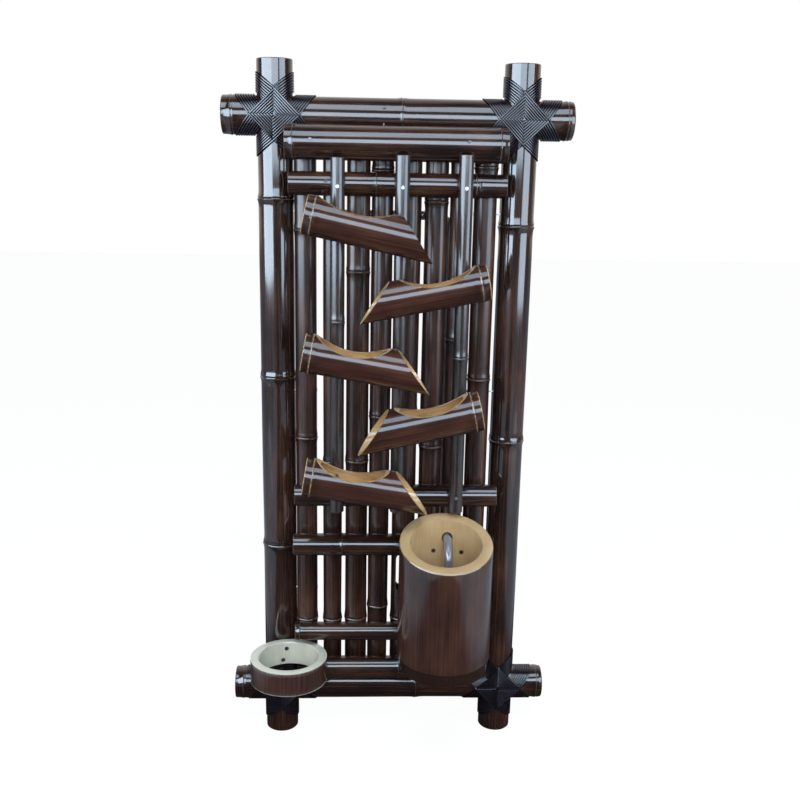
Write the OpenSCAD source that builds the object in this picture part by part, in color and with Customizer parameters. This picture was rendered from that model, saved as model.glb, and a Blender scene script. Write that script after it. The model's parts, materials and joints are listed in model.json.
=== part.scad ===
// Bamboo cascade fountain that hangs on a wall: a lashed frame of four stout culms,
// a screen of eight slats, five troughs that pour one into the next, a tank with its pump,
// and a ring that holds a plant pot. Units are millimetres.
// +X is right as seen from the front, +Y is towards the wall and +Z is up.
// The origin lies midway between the two hang holes, on the back of the stiles.

/* [Frame] */
// Distance between the axes of the two stiles
stile_spacing = 370; // [340:1:420]
// Distance between the axes of the top rail and the bottom rail
rail_spacing = 940; // [900:1:1000]
// Outer diameter of each stile
stile_d = 54; // [50:0.5:58]
// Wall of each stile
stile_wall = 7; // [5:0.5:9]
// Outer diameter of the top rail
top_rail_d = 57; // [52:0.5:60]
// Outer diameter of the bottom rail
bottom_rail_d = 53; // [50:0.5:58]
// Wall of the top and bottom rails
rail_wall = 6.5; // [5:0.5:9]
// Length of each stile above the axis of the top rail
stile_above = 80; // [70:1:100]
// Length of each stile below the axis of the bottom rail
stile_below = 80; // [70:1:100]
// Length of each rail past the axis of a stile
rail_past = 78; // [72:1:95]
// Gap left in a joint where one culm is shaped to another
joint_gap = 0.3; // [0.2:0.05:0.5]
// Diameter of the dowel that pins each corner
peg_d = 8; // [6:0.5:10]

/* [Corner lashing] */
// Width and thickness of a rattan strand
strand = 1.8; // [1.5:0.1:2]
// Number of turns in each lashing
lash_turns = 10; // [6:1:10]
// Gap between a strand and the culm under it
lash_seat = 0.3; // [0.2:0.05:0.4]
// Gap between two strands that cross
lash_layer = 0.5; // [0.45:0.05:0.6]
// Height of the smallest diamond above the centre
first_diamond = 4.5; // [4:0.5:6]
// Step from one diamond to the next, along an arm
diamond_step = 3.8; // [3.6:0.1:4]
// Step from one turn to the next, beside and behind an arm
wrap_step = 2.6; // [2.4:0.1:2.8]

/* [Wall fixing] */
// Diameter of each hang hole
hang_hole_d = 10; // [8:0.5:12]
// Distance from the axis of the top rail down to the hang holes
hang_drop = 75; // [70:1:120]

/* [Screen] */
// Mean diameter of the eight slats
slat_d = 34.5; // [31:0.5:36]
// Wall of each slat
slat_wall = 4; // [3:0.5:5]
// Distance from the back of the stiles to the front of the slats
slat_front = 54.7; // [54.7:0.1:58]
// Diameter of the upper, middle and lower cross rails
cross_d = 35.5; // [32:0.5:38]
// Diameter of the cross rail behind the foot of the tank
tank_rail_d = 30.5; // [28:0.5:34]
// Diameter of the foot rail
foot_rail_d = 37; // [34:0.5:40]
// Diameter of the valance rail
valance_d = 51; // [46:0.5:54]
// Wall of each cross rail
cross_wall = 4.5; // [3.5:0.5:6]
// Height of the valance rail above the bottom rail
valance_z = 901; // [896:1:906]
// Height of the upper cross rail above the bottom rail
upper_z = 842.5; // [838:0.5:848]
// Height of the middle cross rail above the bottom rail
middle_z = 357; // [352:0.5:362]
// Height of the lower cross rail above the bottom rail
lower_z = 272.5; // [268:0.5:274]
// Height of the cross rail behind the foot of the tank
tank_rail_z = 118; // [114:0.5:122]
// Height of the foot rail above the bottom rail
foot_rail_z = 54; // [50:0.5:60]
// Width of the slot cut through the fifth slat
slot_w = 22; // [16:0.5:24]
// Height of the slot cut through the fifth slat
slot_h = 70; // [50:1:80]
// Height of the middle of that slot above the bottom rail
slot_z = 213; // [205:1:220]

/* [Canes] */
// Diameter of the three canes that carry the troughs
cane_d = 22; // [19:0.5:25]
// Wall of each cane
cane_wall = 3.5; // [2.5:0.5:5]
// Height of the lower ends of the canes above the bottom rail
cane_foot = 340.5; // [330:0.5:345]

/* [Troughs] */
// Length of each trough, from its closed end to its lip
trough_len = 195; // [185:1:200]
// Mean diameter of the troughs
trough_d = 57.5; // [54:0.5:60]
// Wall of each trough
trough_wall = 4.5; // [3.5:0.5:6]
// Distance from the closed end to the node that closes it
collar = 12; // [10:0.5:16]
// Distance from the closed end to the start of the scoop
scoop_start = 15; // [15:0.5:24]
// Length of the scoop along the trough
scoop_len = 112; // [90:1:114]
// Mean depth of the scoop
scoop_depth = 17.5; // [14:0.5:20]
// Slant of the lip, from the axis of the trough
lip_angle = 45; // [40:1:50]

/* [Tank] */
// Outer diameter of the tank
tank_d = 145; // [138:0.5:150]
// Wall of the tank
tank_wall = 17.5; // [14:0.5:20]
// Distance of the tank's axis from the middle of the frame
tank_x = 79; // [74:0.5:82]
// Height of the underside of the tank above the bottom rail
tank_foot = 107; // [104:0.5:110]
// Height of the rim above the bottom rail, on the tank's axis
tank_rim = 313.5; // [308:0.5:318]
// Slant of the rim, down towards the front
rim_slant = 16.5; // [10:0.5:18]
// Height of the dark band below the tank's node
tank_band = 22; // [18:0.5:26]
// Thickness of the tank's floor
tank_floor = 6; // [5:0.5:10]

/* [Pot ring] */
// Outer diameter of the pot ring
ring_d = 124; // [116:0.5:130]
// Bore of the pot ring
ring_bore = 97; // [90:0.5:102]
// Height of the pot ring
ring_h = 39; // [34:0.5:42]
// Distance of the ring's axis from the axis of the left stile, to the right
ring_offset = 19; // [10:0.5:24]
// Height of the underside of the ring above the bottom rail
ring_foot = 57.5; // [56:0.5:62]
// Slant of the ring, down towards the wall
ring_tilt = 2; // [0:0.5:3]

/* [Water supply] */
// Outer diameter of the supply hose
hose_d = 14; // [12:0.5:14]
// Wall of the supply hose
hose_wall = 1.5; // [1:0.1:2]
// Radius of the hose's bend inside the tank
hose_bend = 34; // [30:1:36]
// Radius of the hose's bends behind the screen
hose_turn = 26; // [24:1:30]
// Height of the hose through the tank's wall, above the bottom rail
hose_z = 298; // [298:0.5:304]
// Distance of the pump's outlet from the middle of the frame
hose_x = 85.5; // [84:0.5:87]
// Distance of the hose's top end from the middle of the frame, to the left
hose_top_x = 108.5; // [108:0.1:109]

/* [Pump] */
// Width of the pump's housing
pump_w = 40; // [38:0.5:42]
// Height of the pump's housing
pump_h = 38; // [38:0.5:42]
// Length of the housing behind the outlet
pump_back = 29; // [28:0.5:30]
// Wall of the housing
pump_wall = 2; // [1.6:0.1:2.4]
// Diameter of the rotor magnet
rotor_d = 16; // [14:0.5:16.5]
// Length of the rotor magnet
rotor_len = 17; // [14:0.5:18]
// Diameter of the impeller
impeller_d = 23; // [20:0.5:24]
// Diameter of the pump's shaft
shaft_d = 2; // [1.6:0.1:2.4]
// Clearance on radius between the shaft and the impeller
shaft_play = 0.05; // [0.03:0.01:0.08]
// Height of the suction cups
cup_h = 5; // [4:0.5:6]

/* [Fasteners] */
// Diameter of the nails
nail_d = 2.2; // [1.8:0.1:2.6]
// Diameter of the nails' heads
nail_head_d = 5; // [4:0.5:6]
// Thickness of the nails' heads
nail_head_h = 1; // [0.8:0.1:1.4]
// Diameter of the screws
screw_d = 3.5; // [3:0.1:4]
// Diameter of the screws' heads
screw_head_d = 7; // [6:0.5:8]
// Clearance on radius round a nail, a screw or a staple
nail_play = 0.05; // [0.03:0.01:0.1]

/* [Hidden] */
$fn = 64;
eps = 0.01;
far = 400;

// Colours, from the stained culms to the plastic of the pump
dark_stain = [0.13, 0.07, 0.05];
brown_stain = [0.25, 0.12, 0.07];
slat_stain = [0.19, 0.11, 0.08];
rattan = [0.07, 0.05, 0.06];
steel = [0.6, 0.6, 0.62];
clear_hose = [0.6, 0.65, 0.68];
black_plastic = [0.08, 0.08, 0.09];

// Frame
stile_r = stile_d / 2;
axis_y = -stile_r;
stile_x = stile_spacing / 2;
stile_len = rail_spacing + stile_above + stile_below;
rail_half = stile_x + rail_past;
hang_z = rail_spacing - hang_drop;
web = 3;
left_nodes = [339, 621, 898];
right_nodes = [519, 862];
top_nodes = [14, 268, 516];
bottom_nodes = [14, 308, 516];
rail_swell = 1.2;

// Corner lashing: an arm's far side is where the strand comes in
facet = 30;
arm_points = 6;
start_skip = 2;
wrap_start = first_diamond + (stile_r + top_rail_d / 2) / 2 + 2;
lash_past = lash_turns * diamond_step / 2 + 1.5;
lash_reach = max(wrap_start + lash_turns * wrap_step, first_diamond + lash_turns * diamond_step + lash_past)
    + strand / 2;
lash_depth = lash_seat + 2 * strand + lash_layer;

// Screen: slats stand side by side, their fronts in one plane
slat_odds = [-0.5, -3.5, 1.5, -1.5, 3.5, 1.5, -1.5, 0.5];
gap_shares = [1, 9.5, 5.5, 2, 5.5, 4.5, 2.5, 3.5, 6];
slat_nodes = [[129, 444, 773], [128, 404, 770], [129, 405, 710], [152, 480, 863],
    [129, 485, 835], [90, 431, 818], [251, 606, 880], [215, 542, 870]];
slat_count = len(slat_odds);
front_y = -slat_front;
slat_low = bottom_rail_d / 2 + rail_swell + joint_gap;
slat_high = rail_spacing - top_rail_d / 2 - rail_swell - joint_gap;
slat_span = stile_spacing - stile_d;
slat_room = slat_span - sum([for (i = [0:slat_count - 1]) slat_dia(i)]);

// Cross rails: diameter, height, inset of each end from the stiles' axes, and nodes
valance = [valance_d, valance_z, 18, 26, [12, 314]];
upper = [cross_d, upper_z, 22, 24, [130, 278]];
middle = [cross_d, middle_z, 27.5, 20, [77.5]];
lower = [cross_d, lower_z, 25, 25, [79]];
tank_rail = [tank_rail_d, tank_rail_z, 26.5, 26, [8, 230]];
foot_cope = 21;
foot = [foot_rail_d, foot_rail_z, ring_offset + ring_d / 2 - foot_cope, 27, [138]];
cross_rails = [valance, upper, middle, lower, tank_rail, foot];

// Canes: distance from the middle, reach up behind the valance rail, and nodes
cane_x = [-89.5, 5, 97.5];
cane_reach = [880.5, 885, 887];
cane_nodes = [[301], [130], [247]];
cane_y = front_y - joint_gap - cross_d - joint_gap - cane_d / 2;

// Troughs: side of the closed end, distance from the middle, height, slope, and odds
trough_side = [-1, 1, -1, 1, -1];
trough_x = [135.2, 130.8, 138.4, 126.8, 137.8];
trough_z = [801.4, 708, 602, 516, 411];
trough_slope = [12.2, 11.2, 10, 12.5, 9];
trough_odds = [-0.5, -4, 0.5, 2.5, 1.5];
scoop_odds = [-3.5, 0.5, 1.5, -0.5, 1.5];
trough_back = cane_y - cane_d / 2 - joint_gap;
trough_canes = [[0, 1], [2, 1], [0, 1], [2, 1], [0, 1]];

// Tank and ring
tank_r = tank_d / 2;
tank_y = front_y - joint_gap - cross_d - joint_gap - tank_r;
tank_inner = tank_r - tank_wall;
tank_node = tank_foot + tank_band;
tank_base = tank_node + tank_floor / 2;
ring_r = ring_d / 2;
ring_x = -stile_x + ring_offset;
ring_y = axis_y - sqrt(pow(stile_r + joint_gap + ring_r, 2) - pow(ring_offset, 2))
    - ring_h / 2 * sin(ring_tilt);

// Hose: its corners, from the pump's outlet to the first trough
hose_r = hose_d / 2;
hose_bore = hose_r - hose_wall;
hose_gap = 0.8;
staple_wire = 1.6;
hose_back_y = -(hose_r + joint_gap + staple_wire + 0.5);
pump_clear = 1.22;
hose_pump_y = round(10 * (tank_y - pump_back
    + sqrt(pow(tank_inner - pump_clear, 2) - pow(pump_w / 2 + hose_x - tank_x, 2)))) / 10;
hose_top = [-hose_top_x, trough_y(0) + trough_dia(0) / 2 - trough_wall - 5, trough_axis_z(0, -hose_top_x)];
hose_path = [[hose_x, hose_pump_y, pump_z() + pump_h + 2.5], [hose_x, hose_pump_y, hose_z],
    [hose_x, hose_back_y, hose_z], [hose_x, hose_back_y, hose_top[2]],
    [hose_top[0], hose_back_y, hose_top[2]], hose_top];
hose_radii = [hose_bend, hose_turn, hose_turn, hose_turn];
staple_slats = [5, 3, 2];
staple_leg = 22;

// Pump: outlet axis, chamber, rotor well and front parts, measured along the shaft
chamber_half = 6;
chamber_r = impeller_d / 2 + 2.5;
shaft_z = pump_h / 2;
well_r = rotor_d / 2 + 0.6;
well_end = chamber_half + rotor_len + 2.5;
bush_r = 3;
bush_len = 2.5;
cover_t = 2;
cover_gap = 0.2;
cover_y = -chamber_half - cover_gap;
inlet_r = 6.5;
neck_r = 8.5;
neck_len = 4;
dial_play = 0.06;
dial_wall = 1.6;
dial_y = cover_y - cover_t - neck_len - 0.4;
stem_r = 2.2;
knob_r = 6;
knob_t = 3;
shell_t = 1.6;
shell_len = 12;
shell_y = cover_y - shell_len;
nozzle_r = hose_bore - 0.05;
nozzle_bore = 4;
nozzle_h = 18;
cavity_z = 2.6;

// Sum of a list
function sum(v, i = 0) = i >= len(v) ? 0 : v[i] + sum(v, i + 1);
function unit(v) = v / norm(v);

// Slats
function slat_dia(i) = slat_d + slat_odds[i];
function slat_x(i) = -slat_span / 2 + sum([for (k = [0:i]) slat_room * gap_shares[k] / sum(gap_shares)])
    + (i > 0 ? sum([for (k = [0:i - 1]) slat_dia(k)]) : 0) + slat_dia(i) / 2;
function slat_y(i) = front_y + slat_dia(i) / 2;

// Cross rails
function rail_y(rail) = front_y - joint_gap - rail[0] / 2;

// Troughs
function trough_dia(i) = trough_d + trough_odds[i];
function trough_y(i) = trough_back - trough_dia(i) / 2;
function trough_axis_z(i, x) = trough_z[i] - (trough_x[i] - trough_side[i] * x) * tan(trough_slope[i]);

// Pump
function pump_z() = tank_base + cup_h;

// Moves a piece from the bottom rail's height to the origin at the hang holes
module placed()
{
    translate([0, 0, -hang_z])
        children();
}

// A culm along +Z: swollen nodes outside, a web across the bore at each node
module culm(length, d, wall, nodes, swell = 1.4)
{
    r = d / 2;
    ridge = [for (n = nodes) each [[r, n - 6], [r + swell, n - 1.6], [r + swell, n], [r + swell / 3, n + 1.5],
        [r, n + 5]]];
    starts = concat([-1], [for (n = nodes) n + web / 2]);
    ends = concat([for (n = nodes) n - web / 2], [length + 1]);
    difference()
    {
        rotate_extrude()
            polygon(concat([[0, 0], [r, 0]], ridge, [[r, length], [0, length]]));
        for (i = [0:len(starts) - 1])
            translate([0, 0, starts[i]])
                cylinder(r = r - wall, h = ends[i] - starts[i]);
    }
}

// Turns a piece that runs along +Z so that it runs along +X
module along_x()
{
    rotate([0, 90, 0])
        children();
}

// A round hole or rod along +Y
module rod_y(d, length)
{
    rotate([-90, 0, 0])
        cylinder(d = d, h = length);
}

// Corner places: 0 and 1 at the top, 2 and 3 at the bottom
function corner_x(c) = c % 2 == 0 ? -stile_x : stile_x;
function corner_z(c) = c < 2 ? rail_spacing : 0;
function corner_rail_d(c) = c < 2 ? top_rail_d : bottom_rail_d;

// The dowel of a corner, grown by play for its hole
module corner_peg(c, play = 0)
{
    length = stile_r + corner_rail_d(c) / 2 - 3;
    translate([corner_x(c), axis_y - stile_r + 1.5, corner_z(c)])
        rod_y(peg_d + 2 * play, length);
}

// The half of a rail that a stile gives way to, behind the stile's axis. Where the rail is too
// slim to come out at the back, the notch is opened there so that no thin skin is left.
module back_half_of_rail(c)
{
    intersection()
    {
        translate([corner_x(c) - stile_d, axis_y, corner_z(c)])
            along_x()
                cylinder(d = corner_rail_d(c) + 2 * joint_gap, h = 2 * stile_d);
        translate([corner_x(c) - far / 2, axis_y - joint_gap / 2, corner_z(c) - far / 2])
            cube([far, far, far]);
    }
    if (corner_rail_d(c) + 2 * joint_gap < stile_d + 1)
        translate([corner_x(c) - stile_d, axis_y + stile_r / 2, corner_z(c) - corner_rail_d(c) / 6])
            cube([2 * stile_d, stile_d, corner_rail_d(c) / 3]);
}

// The half of a stile that a rail gives way to, in front of the stile's axis
module front_half_of_stile(c)
{
    intersection()
    {
        translate([corner_x(c), axis_y, corner_z(c) - stile_d])
            cylinder(d = stile_d + 2 * joint_gap, h = 2 * stile_d);
        translate([corner_x(c) - far / 2, axis_y + joint_gap / 2 - far, corner_z(c) - far / 2])
            cube([far, far, far]);
    }
}

module stile(side, nodes)
{
    low = side < 0 ? 2 : 3;
    color(dark_stain)
        placed()
            difference()
            {
                translate([side * stile_x, axis_y, -stile_below])
                    rotate([0, 0, -90])
                        culm(stile_len, stile_d, stile_wall, nodes, 2);
                for (c = [low - 2, low])
                {
                    back_half_of_rail(c);
                    corner_peg(c, nail_play);
                }
                translate([side * stile_x, -stile_wall - 4, hang_z])
                    rod_y(hang_hole_d, stile_wall + 8);
                side_nail_set(nail_play);
                if (side < 0)
                    ring_screw_set(nail_play);
            }
}

module frame_rail(top)
{
    c = top ? 0 : 2;
    color(dark_stain)
        placed()
            difference()
            {
                translate([-rail_half, axis_y, corner_z(c)])
                    along_x()
                        culm(2 * rail_half, corner_rail_d(c), rail_wall, top ? top_nodes : bottom_nodes, rail_swell);
                for (k = [c, c + 1])
                {
                    front_half_of_stile(k);
                    corner_peg(k, nail_play);
                }
                if (top)
                    front_nail_set(nail_play);
            }
}

module corner_pegs()
{
    color(brown_stain)
        placed()
            for (c = [0:3])
                corner_peg(c);
}

// Corner lashing. One strand goes round the four arms in turn, left, bottom, right and top,
// each time a little further out, and lies as diamonds over the front of the crossing.
function arm_out(j) = [[-1, 0, 0], [0, 0, -1], [1, 0, 0], [0, 0, 1]][j % 4];
function arm_far(j) = [[0, 0, -1], [1, 0, 0], [0, 0, 1], [-1, 0, 0]][j % 4];
function arm_r(j, rail_r) = (j % 2 == 0 ? rail_r : stile_r) + lash_seat + strand / 2;
function lash_level(j, top_r) = top_r + lash_seat + strand / 2 + (j % 2) * (strand + lash_layer);
function lash_place(j, u, x, y) = arm_out(j) * u + arm_far(j) * x + [0, y, 0];
function lash_visit(j, rail_r) = let (
        top_r = max(rail_r, stile_r),
        r = arm_r(j, rail_r),
        x = r * tan(facet),
        v = r / cos(facet),
        u = first_diamond + j * diamond_step / 4 + lash_past,
        e = wrap_start + j * wrap_step / 4
    ) [
        lash_place(j, u, lash_past, -lash_level(j + 1, top_r)),
        lash_place(j, e, v, 0),
        lash_place(j, e, x, r),
        lash_place(j, e, -x, r),
        lash_place(j, e, -v, 0),
        lash_place(j, u, -lash_past, -lash_level(j, top_r))
    ];
function lash_facets(j) = [for (a = [60, 120, 180, 240, 300])
    arm_far(j) * sin(a) - [0, cos(a), 0]];
function lash_points(rail_r) = [for (j = [0:4 * lash_turns - 1]) each lash_visit(j, rail_r)];
function lash_normals() = [for (j = [0:4 * lash_turns - 1]) each concat(lash_facets(j), [[0, -1, 0]])];
function cut_ends(v, last_skip) = [for (i = [start_skip:len(v) - 1 - last_skip]) v[i]];

// The four corners of a strand's section on the plane that halves a bend
function side_corner(t, n, m, a, b) = let (
        up = unit(n - (n * t) * t),
        o = cross(t, up) * a + up * b
    ) o - (o * m) / (t * m) * t;
function ring_corners(p, t1, n1, t2, n2) = let (m = unit(t1 + t2), h = strand / 2)
    [for (c = [[h, h], [-h, h], [-h, -h], [h, -h]])
        p + (side_corner(t1, n1, m, c[0], c[1]) + side_corner(t2, n2, m, c[0], c[1])) / 2];

// Least distance between two stretches of strand, from a to b and from c to d
function clamp01(x) = min(1, max(0, x));
function stretch_gap(a, b, c, d) = let (
        u = b - a,
        v = d - c,
        w = a - c,
        uu = u * u,
        uv = u * v,
        vv = v * v,
        den = uu * vv - uv * uv,
        s0 = den < eps ? 0 : clamp01((uv * (v * w) - vv * (u * w)) / den),
        t0 = clamp01((uv * s0 + v * w) / vv),
        s = clamp01((uv * t0 - u * w) / uu)
    ) norm(w + s * u - t0 * v);
function least_gap(p) = min([for (i = [0:len(p) - 4]) for (k = [i + 3:len(p) - 2])
    stretch_gap(p[i], p[i + 1], p[k], p[k + 1])]) - strand;

module lashing(c)
{
    rail_r = corner_rail_d(c) / 2;
    p = cut_ends(lash_points(rail_r), start_skip);
    n = cut_ends(lash_normals(), start_skip + 1);
    last = len(p) - 1;
    t = [for (i = [0:last - 1]) unit(p[i + 1] - p[i])];
    rings = [for (i = [0:last])
        ring_corners(p[i], t[max(i - 1, 0)], n[max(i - 1, 0)], t[min(i, last - 1)], n[min(i, last - 1)])];
    faces = concat([[0, 1, 2], [0, 2, 3]],
        [for (i = [0:last - 1]) for (k = [0:3]) each [
            [4 * i + k, 4 * i + 4 + k, 4 * i + 4 + (k + 1) % 4],
            [4 * i + k, 4 * i + 4 + (k + 1) % 4, 4 * i + (k + 1) % 4]]],
        [[4 * last + 2, 4 * last + 1, 4 * last], [4 * last + 3, 4 * last + 2, 4 * last]]);
    echo(str("Lashing ", c, ": least gap of the strand to itself ", least_gap(p), " mm"));
    color(rattan)
        placed()
            translate([corner_x(c), axis_y, corner_z(c)])
                polyhedron(points = [for (ring = rings) each ring], faces = faces);
}

// Room for a lashing behind the end of a rail that lies over it
module lashing_room(c)
{
    half = stile_r + lash_depth + 2;
    depth = max(stile_r, corner_rail_d(c) / 2) + lash_depth + joint_gap;
    translate([corner_x(c) - half, axis_y - depth, corner_z(c) - lash_reach])
        cube([2 * half, depth, 2 * lash_reach]);
}

// Room for a lashing round the stile and the rail of a corner
module lashing_sleeves(c)
{
    thick = (lash_seat + strand / 2) / cos(facet) + strand / 2 + joint_gap;
    translate([corner_x(c), axis_y, corner_z(c) - lash_reach])
        cylinder(r = stile_r / cos(facet) + thick, h = 2 * lash_reach);
    translate([corner_x(c) - lash_reach, axis_y, corner_z(c)])
        along_x()
            cylinder(r = corner_rail_d(c) / 2 / cos(facet) + thick, h = 2 * lash_reach);
}

// Slats
module slat(i)
{
    length = slat_high - slat_low;
    color(slat_stain)
        placed()
            difference()
            {
                translate([slat_x(i), slat_y(i), slat_low])
                    culm(length, slat_dia(i), slat_wall, [for (n = slat_nodes[i]) n - slat_low]);
                screen_nail_set(nail_play, i);
                front_nail_set(nail_play);
                if (i == 0 || i == slat_count - 1)
                    side_nail_set(nail_play);
                if (i == 0 || i == slat_count - 1)
                    for (c = [i == 0 ? 0 : 1, i == 0 ? 2 : 3])
                        lashing_sleeves(c);
                if (i == 4)
                    slat_slot();
                hose_route(hose_r + hose_gap);
                staple_set(nail_play);
            }
}

// The round-ended slot through the fifth slat
module slat_slot()
{
    for (z = [slot_w / 2 - slot_h / 2, slot_h / 2 - slot_w / 2])
        translate([slat_x(4), front_y - 1, slot_z + z])
            rod_y(slot_w, slat_dia(4) + 2);
    translate([slat_x(4) - slot_w / 2, front_y - 1, slot_z + slot_w / 2 - slot_h / 2])
        cube([slot_w, slat_dia(4) + 2, slot_h - slot_w]);
}

// Cross rails
module cross_rail(rail)
{
    left = -stile_x + rail[2];
    right = stile_x - rail[3];
    color(rail[0] == valance_d ? brown_stain : dark_stain)
        placed()
            difference()
            {
                translate([left, rail_y(rail), rail[1]])
                    along_x()
                        culm(right - left, rail[0], cross_wall, rail[4], 1);
                for (c = [0:3])
                    lashing_room(c);
                if (rail == foot)
                    translate([ring_x, ring_y, foot_rail_z - foot_rail_d])
                        cylinder(r = ring_r + 1.2, h = 2 * foot_rail_d);
                for (i = [0:slat_count - 1])
                    screen_nail_set(nail_play, i);
                front_nail_set(nail_play);
                cane_nail_set(nail_play);
                tank_screw_set(nail_play);
            }
}

// Canes: the tops are shaped to the underside of the valance rail
module cane(i)
{
    color(dark_stain)
        placed()
            difference()
            {
                translate([cane_x[i], cane_y, cane_foot])
                    culm(cane_reach[i] - cane_foot, cane_d, cane_wall, cane_nodes[i], 1);
                translate([cane_x[i] - cane_d, rail_y(valance), valance_z])
                    along_x()
                        cylinder(d = valance_d + 2 * joint_gap, h = 2 * cane_d);
                cane_nail_set(nail_play);
                trough_screw_set(nail_play);
            }
}

// Troughs: built along +X from the closed end, then sloped and mirrored into place
module trough_frame(i)
{
    translate([trough_side[i] * trough_x[i], trough_y(i), trough_z[i]])
        mirror([trough_side[i] > 0 ? 1 : 0, 0, 0])
            rotate([0, trough_slope[i], 0])
                children();
}

module trough(i)
{
    r = trough_dia(i) / 2;
    depth = scoop_depth + scoop_odds[i];
    scoop_r = (pow(scoop_len / 2, 2) + pow(depth, 2)) / (2 * depth);
    color(brown_stain)
        placed()
            difference()
            {
                trough_frame(i)
                    difference()
                    {
                        along_x()
                            culm(trough_len, trough_dia(i), trough_wall, [collar], 0.8);
                        translate([scoop_start + scoop_len / 2, -far / 2, r - depth + scoop_r])
                            rod_y(2 * scoop_r, far);
                        translate([trough_len, 0, -r])
                            rotate([0, lip_angle - 90, 0])
                                translate([0, -far / 2, -far / 2])
                                    cube([far, far, far]);
                    }
                trough_screw_set(nail_play);
                if (i == 0)
                    hose_route(hose_r + hose_gap);
            }
}

// Tank: a stout culm, closed below by its node, its rim cut on the slant
module water_tank()
{
    top = tank_rim + tank_r * tan(rim_slant) + 10;
    color(brown_stain)
        placed()
            difference()
            {
                translate([tank_x, tank_y, 0])
                    rotate_extrude()
                        polygon([[0, tank_foot + 2], [tank_r - 6, tank_foot + 2], [tank_r - 4, tank_foot],
                            [tank_r - 2.5, tank_foot + 3], [tank_r - 1.5, tank_node - 4],
                            [tank_r - 0.5, tank_node - 1], [tank_r, tank_node + 3], [tank_r, top], [0, top]]);
                translate([tank_x, tank_y, tank_base])
                    cylinder(r = tank_inner, h = far);
                translate([tank_x, tank_y, 0])
                    cylinder(r = tank_inner, h = tank_node - tank_floor / 2);
                translate([tank_x, tank_y, tank_rim])
                    rotate([rim_slant, 0, 0])
                        translate([-far / 2, -far / 2, 0])
                            cube([far, far, far]);
                hose_route(hose_r + hose_gap);
                tank_screw_set(nail_play);
            }
}

// Pot ring: a short length of stout culm, open above and below, that sits over the lashing
module ring_frame()
{
    translate([ring_x, ring_y, ring_foot + ring_h / 2])
        rotate([-ring_tilt, 0, 0])
            children();
}

module pot_ring()
{
    color(brown_stain)
        placed()
            difference()
            {
                ring_frame()
                    difference()
                    {
                        cylinder(d = ring_d, h = ring_h, center = true);
                        cylinder(d = ring_bore, h = ring_h + 2, center = true);
                    }
                lashing_room(2);
                ring_screw_set(nail_play);
            }
}

// Supply hose: straight runs joined by round bends, from the pump to the first trough
module bend(corner, d_in, d_out, bend_r, r, bore)
{
    start = corner - d_in * bend_r;
    centre = start + d_out * bend_r;
    e1 = -d_out;
    e3 = cross(e1, d_in);
    multmatrix([[e1[0], d_in[0], e3[0], centre[0]], [e1[1], d_in[1], e3[1], centre[1]],
        [e1[2], d_in[2], e3[2], centre[2]], [0, 0, 0, 1]])
        rotate_extrude(angle = 90)
            translate([bend_r, 0])
                difference()
                {
                    circle(r = r);
                    if (bore > 0)
                        circle(r = bore);
                }
}

module run(a, b, r, bore)
{
    d = b - a;
    translate(a)
        rotate([0, acos(d[2] / norm(d)), atan2(d[1], d[0])])
            linear_extrude(height = norm(d))
                difference()
                {
                    circle(r = r);
                    if (bore > 0)
                        circle(r = bore);
                }
}

module hose_route(r, bore = 0)
{
    p = hose_path;
    last = len(p) - 1;
    d = [for (i = [0:last - 1]) unit(p[i + 1] - p[i])];
    for (i = [0:last - 1])
        run(p[i] + d[i] * (i == 0 ? 0 : hose_radii[i - 1]),
            p[i + 1] - d[i] * (i == last - 1 ? 0 : hose_radii[i]), r, bore);
    for (i = [1:last - 1])
        bend(p[i], d[i - 1], d[i], hose_radii[i - 1], r, bore);
}

module supply_hose()
{
    color(clear_hose)
        placed()
            hose_route(hose_r, hose_bore);
}

// Wire staples that hold the hose to the back of the slats
module staple_set(play = 0)
{
    wire_r = hose_r + joint_gap + staple_wire / 2;
    for (i = staple_slats)
        translate([slat_x(i), hose_back_y, hose_top[2]])
            rotate([0, 90, 0])
            {
                rotate_extrude(angle = 180)
                    translate([wire_r, 0])
                        circle(d = staple_wire + 2 * play);
                for (s = [-1, 1])
                    translate([s * wire_r, -staple_leg, 0])
                        rod_y(staple_wire + 2 * play, staple_leg);
            }
}

module hose_staples()
{
    color(steel)
        placed()
            staple_set();
}

// Nails. A nail is drawn with its head's underside at the origin and its shank along -Y.
// Where it goes in on a slope, the hole has a flat seat for the head.
module nail(length, play = 0, seat = 0)
{
    rotate([90, 0, 0])
    {
        cylinder(d = nail_d + 2 * play, h = length);
        if (play > 0 && seat > 0)
            translate([0, 0, -seat])
                cylinder(d = nail_head_d + 6 * play, h = seat);
        if (play == 0)
            translate([0, 0, -nail_head_h])
                cylinder(d = nail_head_d, h = nail_head_h);
    }
}

// From the back, through one slat and into each cross rail
module screen_nail_set(play, i)
{
    for (rail = cross_rails)
        if (slat_x(i) > -stile_x + rail[2] + nail_head_d)
            translate([slat_x(i), slat_y(i) + slat_dia(i) / 2, rail[1]])
                nail(slat_dia(i) + joint_gap + cross_wall + 2, play);
}

module screen_nails()
{
    color(steel)
        placed()
            for (i = [0:slat_count - 1])
                screen_nail_set(0, i);
}

// From the two outer slats into the stiles, between the cross rails
side_nail_z = [180, 520, 800];
module side_nail_set(play = 0)
{
    for (i = [0, slat_count - 1])
        for (z = side_nail_z)
        {
            side = i == 0 ? -1 : 1;
            reach = stile_x - stile_r + stile_wall + 2 - abs(slat_x(i)) + slat_dia(i) / 2;
            y = (slat_y(i) + axis_y) / 2;
            inner = sqrt(pow(slat_dia(i) / 2, 2) - pow(y - slat_y(i), 2));
            translate([slat_x(i) - side * inner, y, z])
                rotate([0, 0, side < 0 ? -90 : 90])
                    nail(reach, play, nail_head_d);
        }
}

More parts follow.
